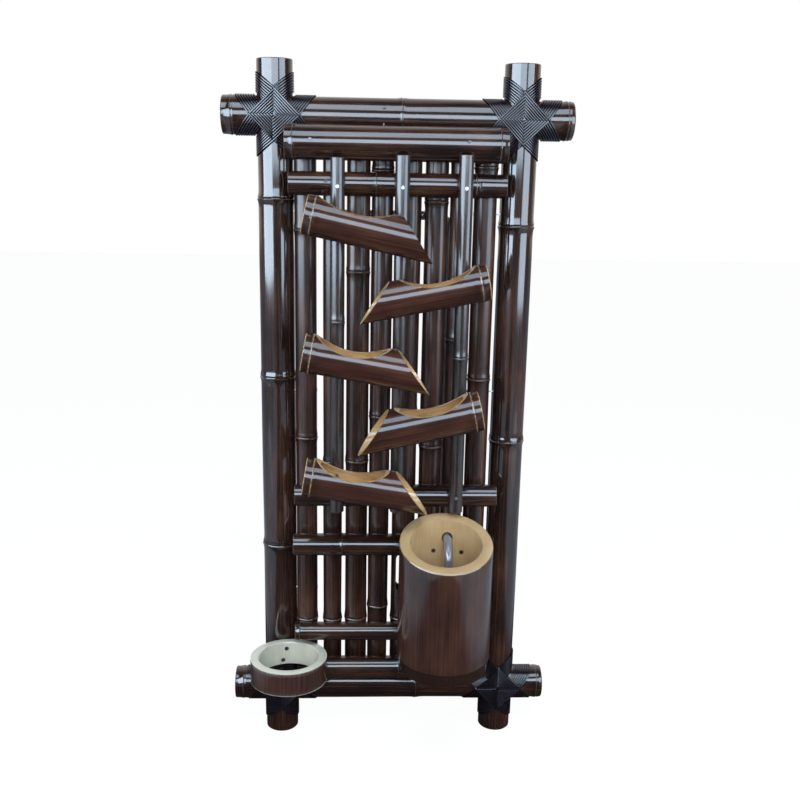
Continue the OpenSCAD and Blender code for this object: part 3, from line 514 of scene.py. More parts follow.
class Finish(Enum):
    """The finishes that aren't bamboo."""

    STEEL = SolidFinish("bright_steel", (0.62, 0.63, 0.66), (0.45, 0.46, 0.5), 0.28, 0.1, 1.0, (900.0, 900.0, 900.0))
    DARK_STEEL = SolidFinish("dark_nail_steel", (0.12, 0.11, 0.12), (0.05, 0.045, 0.05), 0.4, 0.12, 1.0)
    LAMINATE = SolidFinish("stator_steel_sheet", (0.42, 0.43, 0.46), (0.3, 0.3, 0.32), 0.35, 0.1, 1.0,
                           (60.0, 60.0, 3000.0), 0.4)
    COPPER = SolidFinish("copper_winding", (0.72, 0.28, 0.12), (0.55, 0.2, 0.08), 0.3, 0.1, 1.0,
                         (200.0, 4000.0, 200.0), 0.6)
    BLACK_PLASTIC = SolidFinish("black_plastic", (0.012, 0.012, 0.013), (0.02, 0.02, 0.021), 0.42, 0.08, 0.0,
                                (1600.0, 1600.0, 1600.0), 0.3)
    DIAL_PLASTIC = SolidFinish("grey_dial_plastic", (0.09, 0.1, 0.11), (0.12, 0.13, 0.14), 0.38, 0.08, 0.0,
                               (1600.0, 1600.0, 1600.0), 0.25)
    ROTOR_PLASTIC = SolidFinish("rotor_plastic", (0.03, 0.035, 0.04), (0.05, 0.055, 0.06), 0.35, 0.08, 0.0,
                                (900.0, 900.0, 900.0), 0.2)
    CERAMIC = SolidFinish("white_ceramic", (0.8, 0.79, 0.76), (0.72, 0.71, 0.69), 0.2, 0.06, 0.0,
                          (700.0, 700.0, 700.0), 0.1)
    RUBBER = SolidFinish("black_rubber", (0.014, 0.014, 0.014), (0.024, 0.024, 0.025), 0.62, 0.1, 0.0,
                         (1100.0, 1100.0, 1100.0), 0.4)
    DOWEL = SolidFinish("dowel_wood", (0.5, 0.32, 0.16), (0.36, 0.2, 0.09), 0.6, 0.1, 0.0,
                        (900.0, 40.0, 900.0), 0.6)
    HOSE = SolidFinish("clear_hose_plastic", (0.36, 0.345, 0.38), (0.24, 0.23, 0.27), 0.14, 0.06, 0.0,
                       (160.0, 160.0, 160.0), 0.08, 0.3, 0.6)


# --------------------------------------------------------------------------- mesh building


@dataclass(frozen=True)
class Station:
    """One ring of a turned shape, in millimetres.

    Attributes:
        along: its place along the axis.
        radius: its distance from the axis.
        bare: how far the band to the next ring is cut wood.
        scar: how far it is a node's pale line.
        painted_shade_and_band: how far the skin is darkened: painted shade round a node and by an end, and the tank's
            dark band below its node.
        live: whether it follows the culm's own unevenness.
    """

    along: float
    radius: float
    bare: float = 0.0
    scar: float = 0.0
    painted_shade_and_band: float = 0.0
    live: bool = False


def rings(along: float, radius: float, rows: Iterable[tuple[float, ...]], live: bool = False) -> list[Station]:
    """Stations told from one place of a profile: distances along and out, then bare, scar and darkening (painted shade,
    and the tank's dark band) if not 0.
    """
    return [Station(along + da, radius + dr, *marks, live=live) for da, dr, *marks in rows]


@dataclass
class MeshParts:
    """Corners, faces and the vectors that the finishes read, gathered before a mesh is made.

    Attributes:
        points: the corners, in metres.
        faces: the corner numbers of each face.
        grain: a vector for each corner of each face, that runs with the fibres.
        marks: scar, bare and darkening (painted shade, and the tank's dark band) for each corner of each face.
    """

    points: list[Vector] = field(default_factory=list)
    faces: list[tuple[int, ...]] = field(default_factory=list)
    grain: list[Point] = field(default_factory=list)
    marks: list[Point] = field(default_factory=list)

    def revolve(self, stations: Sequence[Station], frame: Matrix, sides: int, shift: float,
                unevenness: Callable[[float, float], float] | None = None,
                bend: Callable[[Vector], Vector] | None = None) -> None:
        """Turns a profile round the Z axis of a frame.

        Args:
            stations: the profile's rings in order.
            frame: where the shape's axis and front are, in millimetres of the source.
            sides: steps round the axis.
            shift: moves the grain's pattern, so that pieces differ.
            unevenness: extra radius at a place along the axis and an angle.
            bend: moves each point, in the frame's own millimetres.
        """
        run, loops = 0.0, []
        runs: list[float] = []
        for index, station in enumerate(stations):
            if index:
                before = stations[index - 1]
                run += math.hypot(station.along - before.along, station.radius - before.radius)
            runs.append(run)
            count = 1 if station.radius < TINY else sides
            first = len(self.points)
            for step in range(count):
                angle = 2 * math.pi * step / sides
                radius = station.radius
                if station.live and unevenness:
                    radius += unevenness(station.along, angle)
                local = Vector((radius * math.cos(angle), radius * math.sin(angle), station.along))
                if bend:
                    local = bend(local)
                self.points.append(place(*(frame @ local)))
            loops.append([first + (step if count > 1 else 0) for step in range(sides)])
        for index in range(len(stations) - 1):
            here, after = stations[index], stations[index + 1]
            for step in range(sides):
                then = (step + 1) % sides
                corners = [(loops[index][step], here, step, index), (loops[index][then], here, step + 1, index),
                           (loops[index + 1][then], after, step + 1, index + 1),
                           (loops[index + 1][step], after, step, index + 1)]
                if here.radius < TINY:
                    corners.pop(1)
                elif after.radius < TINY:
                    corners.pop(2)
                self.faces.append(tuple(corner[0] for corner in corners))
                for _, station, turn, row in corners:
                    angle = 2 * math.pi * turn / sides
                    self.grain.append((station.radius * math.cos(angle) * MM + shift,
                                       station.radius * math.sin(angle) * MM, runs[row] * MM + shift))
                    self.marks.append((station.scar, here.bare, station.painted_shade_and_band))

    def plain_face(self, face: tuple[int, ...], bare: float = 0.0) -> None:
        """Adds a face whose grain follows its place.

        Args:
            face: the numbers of its corners.
            bare: how far it is cut wood.
        """
        self.faces.append(face)
        self.grain += [tuple(self.points[corner]) for corner in face]
        self.marks += [(0.0, bare, 0.0)] * len(face)

    def build(self, name: str) -> bpy.types.Object:
        """Makes the object.

        Args:
            name: its name.

        Returns:
            The object, at the origin.
        """
        mesh = bpy.data.meshes.new(name)
        mesh.from_pydata([tuple(p) for p in self.points], [], self.faces)
        for layer, values in (("grain", self.grain), ("marks", self.marks)):
            attribute = mesh.attributes.new(layer, "FLOAT_VECTOR", "CORNER")
            attribute.data.foreach_set("vector", np.asarray(values, np.float32).ravel())
        mesh.update()
        return add_object(name, mesh)


def circle(radius: float, sides: int = 96, centre: tuple[float, float] = (0.0, 0.0), start: float = 0.0,
           turn: float = 360.0) -> list[tuple[float, float]]:
    """Points of a circle or an arc.

    Args:
        radius: its radius.
        sides: steps of a full turn.
        centre: its centre.
        start: the first angle in degrees.
        turn: how far it goes round, in degrees.

    Returns:
        The points, anticlockwise.
    """
    count = max(4, round(sides * turn / 360))
    angles = [math.radians(start + turn * k / count) for k in range(count + (turn < 360))]
    return [(centre[0] + radius * math.cos(a), centre[1] + radius * math.sin(a)) for a in angles]


def frame_of(origin: Point, along: Point, front: Point = (0.0, -1.0, 0.0)) -> Matrix:
    """A frame whose Z runs along a piece and whose X faces the front.

    Args:
        origin: where it starts, in millimetres.
        along: direction of its Z.
        front: direction that its X is nearest to.

    Returns:
        The frame's matrix.
    """
    z = Vector(along).normalized()
    x = Vector(front)
    x = (x - z * x.dot(z)).normalized()
    y = z.cross(x)
    return Matrix(((x.x, y.x, z.x, origin[0]), (x.y, y.y, z.y, origin[1]), (x.z, y.z, z.z, origin[2]), (0, 0, 0, 1)))


def prism(outline: Sequence[tuple[float, float]], frame: Matrix, low: float, high: float) -> MeshParts:
    """A straight prism, whose faces count as cut wood.

    Args:
        outline: its section, anticlockwise in the frame's X and Y.
        frame: the frame that holds it, in millimetres of the source.
        low: its start along the frame's Z.
        high: its end along the frame's Z.

    Returns:
        The cutter.
    """
    parts, count = MeshParts(), len(outline)
    parts.points = [place(*(frame @ Vector((a, b, level)))) for level in (low, high) for a, b in outline]
    sides = [(k, (k + 1) % count, count + (k + 1) % count, count + k) for k in range(count)]
    for face in (tuple(reversed(range(count))), tuple(range(count, 2 * count)), *sides):
        parts.plain_face(face, 1.0)
    return parts


def recess(face: Point, inwards: Point, radius: float = 3.75, depth: float = 16.0) -> MeshParts:
    """The cutter that bares a sunk screw head, from the middle of its face inwards into the open."""
    return prism(circle(radius, sides=32), frame_of(face, inwards, (0, 0, 1)), low=-0.05, high=depth)


def lashing_room(corner: int) -> MeshParts:
    """The cutter that makes room for a lashing behind the end of a culm that lies over it.

    Args:
        corner: the corner's number.

    Returns:
        The cutter.
    """
    x, z, d = SIZES.corner(corner)
    half, reach = SIZES.stile_d / 2 + SIZES.strand_side, SIZES.strand_reach
    frame = frame_of((x, SIZES.axis_y, z), (0, -1, 0), (1, 0, 0))
    return prism([(-half, -reach), (half, -reach), (half, reach), (-half, reach)], frame, low=0,
                 high=max(SIZES.stile_d, d) / 2 + SIZES.strand_depth)


def bake_modifiers(piece: bpy.types.Object) -> None:
    """Makes a piece's modifiers part of its mesh.

    Args:
        piece: the piece.
    """
    graph, old = bpy.context.evaluated_depsgraph_get(), piece.data
    shape = bpy.data.meshes.new_from_object(piece.evaluated_get(graph), preserve_all_data_layers=True, depsgraph=graph)
    piece.modifiers.clear()
    piece.data = shape
    bpy.data.meshes.remove(old)


def cut_away(piece: bpy.types.Object, cutters: Iterable[MeshParts]) -> None:
    """Cuts shapes out of a piece.

    Args:
        piece: the piece, a closed mesh.
        cutters: the closed shapes to take out.
    """
    tools = [parts.build(f"cutter_{index}") for index, parts in enumerate(cutters)]
    for tool in tools:
        modifier = piece.modifiers.new("cut", "BOOLEAN")
        modifier.operation, modifier.solver, modifier.object = "DIFFERENCE", "EXACT", tool
    bake_modifiers(piece)
    for tool in tools:
        shape = tool.data
        bpy.data.objects.remove(tool)
        bpy.data.meshes.remove(shape)


def declare(piece: bpy.types.Object, node: str) -> bpy.types.Object:
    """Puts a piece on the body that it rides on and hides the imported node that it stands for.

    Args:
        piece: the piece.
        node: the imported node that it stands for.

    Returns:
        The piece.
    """
    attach(piece, BODY)
    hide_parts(node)
    LOG.info("%s: %d faces, stands for %s", piece.name, len(piece.data.polygons), node)
    return piece


def settle(piece: bpy.types.Object, material: bpy.types.Material, node: str,
           sharp: float = 32.0) -> bpy.types.Object:
    """Shades, dresses and places a finished piece.

    Args:
        piece: the piece.
        material: its finish.
        node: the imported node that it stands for.
        sharp: angle in degrees past which an edge stays sharp.

    Returns:
        The piece.
    """
    mesh = piece.data
    mesh.materials.clear()
    mesh.materials.append(material)
    mesh.shade_smooth()
    mesh.set_sharp_from_angle(angle=math.radians(sharp))
    return declare(piece, node)


# --------------------------------------------------------------------------- culms


@dataclass
class Culm:
    """A length of bamboo: an uneven skin, swollen nodes with their scars, and open ends.

    Attributes:
        name: the piece's name.
        frame: frame whose Z runs along the culm from its start.
        length: its length.
        diameter: its diameter between nodes.
        wall: its wall.
        nodes: distances of the nodes from the start.
        swell: how far a node stands out.
        seed: makes its unevenness and its stain its own.
        sides: steps round it.
        hollow: whether the chambers between the nodes are made too.
        wobble: how uneven the skin is.
        edge: size of the rounded edges of its ends.
        web: half thickness of the web inside a node.
        step: distance of the skin's rings.
        lip: size of the rounded edges of its bore.
        margin: distance from an end that the skin's other rings keep.
        near: distance from an end within which a node counts as that end's own.
        NODE: rings of a node: distance along, share of the swell, scar, and painted shade under the swell and in the
            hollow over it.
        CLEAR: distances below and above a node between which the skin has no other rings.
        GROOVE: start over a node, length, share of the diameter and half width in radians of the hollow there.
    """

    # The last number of each row is painted shade, darkest under the swell and in the hollow just over it.
    NODE = ((-15.0, 0.0, 0.0, 0.25), (-9.0, 0.05, 0.0, 0.45), (-4.5, 0.35, 0.0, 0.7), (-1.8, 0.8, 0.0, 0.85),
            (-0.9, 1.0, 0.35, 0.3), (-0.2, 1.0, 1.0, 0.0), (0.5, 0.45, 0.8, 0.5), (1.4, 0.25, 0.0, 0.9),
            (3.0, 0.6, 0.0, 0.35), (4.6, 0.62, 0.0, 0.2), (7.0, 0.3, 0.0, 0.35), (11.0, 0.05, 0.0, 0.2),
            (17.0, 0.0, 0.0, 0.0))
    CLEAR = (-19.0, 21.0)
    GROOVE = (4.0, 85.0, 0.016, 0.36)

    name: str
    frame: Matrix
    length: float
    diameter: float
    wall: float
    nodes: tuple[float, ...]
    swell: float = 1.4
    seed: int = 1
    sides: int = 64
    hollow: bool = False
    wobble: float = 1.0
    edge: float = 0.9
    web: float = 1.5
    step: float = 20.0
    lip: float = 0.6
    margin: float = 3.5
    near: float = 6.0

    def unevenness(self, along: float, angle: float) -> float:
        """Extra radius of the skin: slightly oval, wavy, and hollowed above each node.

        Args:
            along: distance from the culm's start.
            angle: angle round it.

        Returns:
            The extra radius in millimetres.
        """
        s, (start, length, share, width) = self.seed * 1.7, self.GROOVE
        extra = -0.12 + 0.16 * math.sin(2 * angle + s) + 0.12 * math.sin(along / 58 + s * 2.3)
        extra += 0.07 * math.sin(3 * angle + along / 83 + s)
        for index, node in enumerate(self.nodes):
            above = along - node - start
            if 0 < above < length:
                turn = (angle - s - math.pi * index + math.pi) % (2 * math.pi) - math.pi
                extra -= share * self.diameter * (1 - above / length) * math.exp(-(turn / width) ** 2)
        return extra * self.wobble

    def skin(self) -> list[Station]:
        """The rings of the outside, from the start's edge to the end's edge.

        Returns:
            The stations in order.
        """
        r, edge, end = self.diameter / 2, self.edge, self.length
        count, (before, past) = int(end / self.step), self.CLEAR
        skin = [Station(node + du, r + self.swell * out, 0.0, scar, painted_shade_and_band, True)
                for node in self.nodes for du, out, scar, painted_shade_and_band in self.NODE if edge < node + du < end - edge]
        skin += [Station(k * end / count, r, live=True) for k in range(1, count)
                 if all(not before < k * end / count - node < past for node in self.nodes)]
        skin.sort(key=lambda ring: ring.along)
        # Each end's rounded edge gets a pale line and some painted shade.
        return [*rings(0, r, ((0, -edge, 1), (edge, 0, 0, 0.6, 0.4), (edge + 1.2, 0)), True),
                *[ring for ring in skin if self.margin < ring.along < end - self.margin],
                *rings(end, r, ((-edge - 1.2, 0), (-edge, 0, 1, 0.6, 0.4), (0, -edge, 1)), True)]

    def bore_depths(self) -> tuple[float, float]:
        """How deep the bore is at each end, down to the nearest node's web.

        Returns:
            The depths at the start and at the end.
        """
        low, high = (min([depth - self.web for depth in depths if depth > self.near] or [self.length / 2])
                     for depths in (self.nodes, [self.length - n for n in self.nodes]))
        return (low, high) if low + high < self.length - 2 else (self.length / 2 - 2, self.length / 2 - 2)

    def stations(self) -> list[Station]:
        """The whole profile, from the axis at one web to the axis at the other.

        Returns:
            The stations in order.
        """
        bore, lip, (low, high) = self.diameter / 2 - self.wall, self.lip, self.bore_depths()
        return [*rings(0, bore, ((low, -bore, 1), (low, 0, 1), (lip, 0, 1), (0, lip, 1))), *self.skin(),
                *rings(self.length, bore, ((0, lip, 1), (-lip, 0, 1), (-high, 0, 1), (-high, -bore, 1)))]

    def chambers(self) -> list[list[Station]]:
        """The closed chambers between nodes, turned inwards.

        Returns:
            One profile for each chamber.
        """
        bore = self.diameter / 2 - self.wall
        inner = sorted(n for n in self.nodes if self.near < n < self.length - self.near)
        return [[Station(along, radius, 1.0) for along, radius in ((b - self.web, 0.0), (b - self.web, bore),
                                                                   (a + self.web, bore), (a + self.web, 0.0))]
                for a, b in zip(inner, inner[1:])]

    def build(self) -> bpy.types.Object:
        """Makes the culm.

        Returns:
            Its object.
        """
        parts = MeshParts()
        parts.revolve(self.stations(), self.frame, self.sides, self.seed * 0.37, self.unevenness)
        if self.hollow:
            for chamber in self.chambers():
                parts.revolve(chamber, self.frame, self.sides, self.seed * 0.37)
        return parts.build(self.name)


# --------------------------------------------------------------------------- frame


@dataclass
class LashedFrame:
    """Two stiles and two rails, half-lapped at the corners.

    Attributes:
        stain: the finish of the four culms.
        stile_nodes: nodes of the left and right stile, from their lower ends.
        rail_nodes: nodes of the top and bottom rail, from their left ends.
        hang_drop: distance of the hang holes below the top rail's axis.
        past: how far the cutter of a hang hole goes past the wall to either side.
        lap_room: least room of a half lap round the stile's own radius.
    """

    stain: bpy.types.Material
    stile_nodes: tuple[tuple[float, ...], tuple[float, ...]] = ((339, 621, 898), (519, 862))
    rail_nodes: tuple[tuple[float, ...], tuple[float, ...]] = ((14, 268, 516), (14, 308, 516))
    hang_drop: float = 75.0
    past: float = 4.0
    lap_room: float = 0.4

    def half_rail(self, corner: int) -> MeshParts:
        """The cutter for the back half of a rail, that a stile gives way to.

        Args:
            corner: the corner's number.

        Returns:
            The cutter.
        """
        x, z, d = SIZES.corner(corner)
        r = max(d / 2 + SIZES.joint_gap, SIZES.stile_d / 2 + self.lap_room)
        frame = frame_of((x - SIZES.lap_reach, SIZES.axis_y, z), (1, 0, 0), (0, 0, 1))
        return prism(circle(r, start=-180, turn=180), frame, low=0, high=2 * SIZES.lap_reach)

    def half_stile(self, corner: int) -> MeshParts:
        """The cutter for the front half of a stile, that a rail gives way to.

        Args:
            corner: the corner's number.

        Returns:
            The cutter.
        """
        x, z, _ = SIZES.corner(corner)
        frame = frame_of((x, SIZES.axis_y, z - SIZES.lap_reach), (0, 0, 1), (1, 0, 0))
        r = SIZES.stile_d / 2 + SIZES.joint_gap
        return prism(circle(r, start=-180, turn=180), frame, low=0, high=2 * SIZES.lap_reach)

    def hang_hole(self, x: float) -> MeshParts:
        """The cutter for the hole in the back of the stile at x, that hangs it on a hook."""
        frame = frame_of((x, -SIZES.stile_wall - self.past, SIZES.rail_gap - self.hang_drop), (0, 1, 0), (1, 0, 0))
        return prism(circle(SIZES.hang_hole / 2, sides=48), frame, low=0, high=SIZES.stile_wall + 2 * self.past)

    def build(self) -> list[bpy.types.Object]:
        """Makes the four culms.

        Returns:
            Their objects.
        """
        made = []
        for side, (name, nodes) in enumerate(zip(("left", "right"), self.stile_nodes)):
            x = SIZES.corner(side)[0]
            piece = Culm(f"culm_stile_{name}", frame_of((x, SIZES.axis_y, -SIZES.stile_past), (0, 0, 1)),
                         SIZES.rail_gap + 2 * SIZES.stile_past, SIZES.stile_d, SIZES.stile_wall, nodes, swell=2.0,
                         seed=3 + side, sides=88, hollow=True).build()
            cut_away(piece, [self.half_rail(side), self.half_rail(side + 2), self.hang_hole(x)])
            made.append(settle(piece, self.stain, f"stile_{name}"))
        for level, (name, nodes) in enumerate(zip(("top", "bottom"), self.rail_nodes)):
            _, z, d = SIZES.corner(2 * level)
            piece = Culm(f"culm_rail_{name}", frame_of((-SIZES.rail_half, SIZES.axis_y, z), (1, 0, 0)),
                         2 * SIZES.rail_half, d, SIZES.rail_wall, nodes, swell=1.2, seed=5 + level,
                         sides=88).build()
            cut_away(piece, [self.half_stile(2 * level), self.half_stile(2 * level + 1)])
            made.append(settle(piece, self.stain, f"{name}_rail"))
        return made


# --------------------------------------------------------------------------- screen


@dataclass
class Screen:
    """Eight slats, six cross rails and three canes.

    Attributes:
        slat_stain: finish of the slats.
        rail_stain: finish of the cross rails.
        cane_stain: finish of the canes.
        slats: middle, diameter and nodes (heights above the bottom rail) of each slat.
        rails: name, diameter, height, left end, right end and nodes of each cross rail.
        canes: name, middle, top and node of each cane.
        slot: width, height and middle of the slot in the slotted slat.
        slotted: index of the slotted slat.
        slot_start: depth at which the slot's cutter starts, behind the slat.
        slot_reach: how far it goes from there towards the front.
        slat_ends: heights of the slats' ends.
        cane_y: depth of the canes' axes.
        cane_foot: height of the canes' lower ends.
        ring_cope: middle and radius of the hollow in the foot rail for the pot ring.
        cane_cope: depth, height and radius of the hollow in the canes' tops for the valance rail.
        cane_d: diameter of the canes.
        walls: walls of the slats, the cross rails and the canes.
    """

    slat_stain: bpy.types.Material
    rail_stain: bpy.types.Material
    cane_stain: bpy.types.Material
    slats: tuple[tuple[float, float, tuple[float, ...]], ...] = (
        (-140.0, 34.0, (129, 444, 773)), (-98.0, 31.0, (128, 404, 770)), (-59.0, 36.0, (129, 405, 710)),
        (-22.5, 33.0, (152, 480, 863)), (18.5, 38.0, (129, 485, 835)), (60.0, 36.0, (90, 431, 818)),
        (97.0, 33.0, (251, 606, 880)), (134.5, 35.0, (215, 542, 870)))
    rails: tuple[tuple[str, float, float, float, float, tuple[float, ...]], ...] = (
        ("valance_rail", 51.0, 901.0, -167.0, 159.0, (12, 314)),
        ("upper_cross_rail", 35.5, 842.5, -163.0, 161.0, (130, 278)),
        ("middle_cross_rail", 35.5, 357.0, -157.5, 165.0, (77.5,)),
        ("lower_cross_rail", 35.5, 272.5, -160.0, 160.0, (79,)),
        ("tank_cross_rail", 30.5, 118.0, -158.5, 159.0, (8, 230)),
        ("foot_rail", 37.0, 54.0, -125.0, 158.0, (138,)))
    canes: tuple[tuple[str, float, float, float], ...] = (
        ("left", -89.5, 880.5, 301.0), ("middle", 5.0, 885.0, 130.0), ("right", 97.5, 887.0, 247.0))
    slot: tuple[float, float, float] = (22.0, 70.0, 213.0)
    slotted: int = 4
    slot_start: float = 10.0
    slot_reach: float = 90.0
    slat_ends: tuple[float, float] = (28.0, 910.0)
    cane_y: float = -101.8
    cane_foot: float = 340.5
    ring_cope: tuple[float, float, float] = (-166.0, -114.9, 63.2)
    cane_cope: tuple[float, float, float] = (-80.5, 901.0, 25.8)
    cane_d: float = 22.0
    walls: tuple[float, float, float] = (4.0, 4.5, 3.5)

    def slot_cutter(self, x: float) -> MeshParts:
        """The cutter of the round-ended slot.

        Args:
            x: the slat's middle.

        Returns:
            The cutter.
        """
        w, h, z = self.slot
        reach = h / 2 - w / 2
        outline = circle(w / 2, 48, (0, reach), 0, 180) + circle(w / 2, 48, (0, -reach), 180, 180)
        return prism(outline, frame_of((x, self.slot_start, z), (0, -1, 0), (1, 0, 0)), low=0, high=self.slot_reach)

    def slats_made(self) -> list[bpy.types.Object]:
        """Makes the slats.

        Returns:
            Their objects.
        """
        made, (low, high) = [], self.slat_ends
        for index, (x, d, nodes) in enumerate(self.slats):
            slotted = index == self.slotted
            piece = Culm(f"culm_slat_{index + 1}", frame_of((x, SIZES.screen_front + d / 2, low), (0, 0, 1)),
                         high - low, d, self.walls[0], tuple(n - low for n in nodes), seed=11 + index, sides=56,
                         hollow=slotted).build()
            if slotted:
                cut_away(piece, [self.slot_cutter(x)])
            made.append(settle(piece, self.slat_stain, f"slat_{index + 1}"))
        return made

    def rails_made(self) -> list[bpy.types.Object]:
        """Makes the cross rails.

        Returns:
            Their objects.
        """
        made, (x, y, r) = [], self.ring_cope
        cutters = {"valance_rail": [lashing_room(0), lashing_room(1)],
                   "foot_rail": [prism(circle(r, sides=160), frame_of((x, y, 0), (0, 0, 1)), low=0, high=120),
                                 lashing_room(3)]}
        for index, (name, d, z, left, right, nodes) in enumerate(self.rails):
            depth = SIZES.screen_front - SIZES.joint_gap - d / 2
            piece = Culm(f"culm_{name}", frame_of((left, depth, z), (1, 0, 0)), right - left, d, self.walls[1], nodes,
                         swell=1.0, seed=23 + index).build()
            if name in cutters:
                cut_away(piece, cutters[name])
            made.append(settle(piece, self.rail_stain, name))
        return made

    def canes_made(self) -> list[bpy.types.Object]:
        """Makes the canes.

        Returns:
            Their objects.
        """
        made, (y, z, r) = [], self.cane_cope
        for index, (name, x, top, node) in enumerate(self.canes):
            piece = Culm(f"culm_cane_{name}", frame_of((x, self.cane_y, self.cane_foot), (0, 0, 1)),
                         top - self.cane_foot, self.cane_d, self.walls[2], (node,), swell=1.0, seed=31 + index,
                         sides=48).build()
            cut_away(piece, [prism(circle(r), frame_of((x, y, z), (1, 0, 0)), low=-30, high=30)])
            made.append(settle(piece, self.cane_stain, f"cane_{name}"))
        return made

    def build(self) -> list[bpy.types.Object]:
        """Makes the slats, the cross rails and the canes."""
        return [*self.slats_made(), *self.rails_made(), *self.canes_made()]


# --------------------------------------------------------------------------- troughs


@dataclass
class Trough:
    """A trough cut from a culm: closed by its node at one end, scooped above, with a slanted lip.

    Attributes:
        number: its place from the top, from 1.
        side: -1 with the closed end at the left, 1 at the right.
        start: distance of the closed end from the middle, and its height.
        slope: fall in degrees.
        diameter: its diameter.
        depth: depth of the scoop.
        back: depth of the back of every trough.
        length: length along its underside.
        wall: its wall.
        collar: distance of the node from the closed end.
        scoop: start and length of the scoop.
        canes: places of its two canes, for either side.
    """

    number: int
    side: int
    start: tuple[float, float]
    slope: float
    diameter: float
    depth: float
    back: float = -113.1
    length: float = 195.0
    wall: float = 4.5
    collar: float = 12.0
    scoop: tuple[float, float] = (15.0, 112.0)
    canes: tuple[tuple[float, float], tuple[float, float]] = ((-89.5, 5.0), (97.5, 5.0))

    def frame(self) -> Matrix:
        """The trough's frame: Z along it, X towards the viewer.

        Returns:
            The frame's matrix.
        """
        a = math.radians(self.slope)
        origin = (self.side * self.start[0], self.back - self.diameter / 2, self.start[1])
        return frame_of(origin, (-self.side * math.cos(a), 0, -math.sin(a)))

    def up(self) -> Vector:
        """The direction square to the trough, upwards."""
        a = math.radians(self.slope)
        return Vector((-self.side * math.sin(a), 0, math.cos(a)))

    def scoop_cutter(self) -> MeshParts:
        """The round cutter of the scoop.

        Returns:
            The cutter.
        """
        start, length = self.scoop
        r = (length ** 2 / 4 + self.depth ** 2) / (2 * self.depth)
        centre = self.frame() @ Vector((0, 0, start + length / 2)) + self.up() * (self.diameter / 2 - self.depth + r)
        return prism(circle(r, sides=360), frame_of(tuple(centre), (0, 1, 0), (0, 0, 1)), low=-60, high=60)

    def lip_cutter(self, size: float = 140.0, reach: float = 160.0) -> MeshParts:
        """The slanted cutter of the lip.

        Args:
            size: its half width.
            reach: how far it goes past the lip.

        Returns:
            The cutter.
        """
        frame, up = self.frame(), self.up()
        along = (frame.to_3x3() @ Vector((0, 0, 1))).normalized()
        tip = frame @ Vector((0, 0, self.length)) - up * (self.diameter / 2)
        return prism([(-size, -size), (size, -size), (size, size), (-size, size)],
                     frame_of(tuple(tip), tuple((along + up).normalized()), (0, -1, 0)), low=0, high=reach)

    def screws(self) -> list[Point]:
        """Faces of the heads of the two screws that hold it to its canes."""
        canes, fall = self.canes[self.side > 0], math.tan(math.radians(self.slope))
        return [(x, self.back - self.wall + 0.6, self.start[1] - (self.start[0] - self.side * x) * fall) for x in canes]

    def build(self, stain: bpy.types.Material) -> bpy.types.Object:
        """Makes the trough.

        Args:
            stain: its finish.

        Returns:
            Its object.
        """
        piece = Culm(f"culm_trough_{self.number}", self.frame(), self.length, self.diameter, self.wall,
                     (self.collar,), swell=0.8, seed=41 + self.number, sides=96, wobble=0.5).build()
        heads = [recess(face, (0, -1, 0)) for face in self.screws()]
        cut_away(piece, [self.scoop_cutter(), self.lip_cutter(), *heads])
        return settle(piece, stain, f"trough_{self.number}")


@dataclass
class Cascade:
    """The five troughs, each of which pours into the next.

    Attributes:
        stain: their finish.
        troughs: the troughs from the top down.
    """

    stain: bpy.types.Material
    troughs: tuple[Trough, ...] = (
        Trough(1, -1, (135.2, 801.4), 12.2, 57.0, 14.0), Trough(2, 1, (130.8, 708.0), 11.2, 53.5, 18.0),
        Trough(3, -1, (138.4, 602.0), 10.0, 58.0, 19.0), Trough(4, 1, (126.8, 516.0), 12.5, 60.0, 17.0),
        Trough(5, -1, (137.8, 411.0), 9.0, 59.0, 19.0))

    def build(self) -> list[bpy.types.Object]:
        """Makes the troughs."""
        return [trough.build(self.stain) for trough in self.troughs]


# --------------------------------------------------------------------------- tank and pot ring


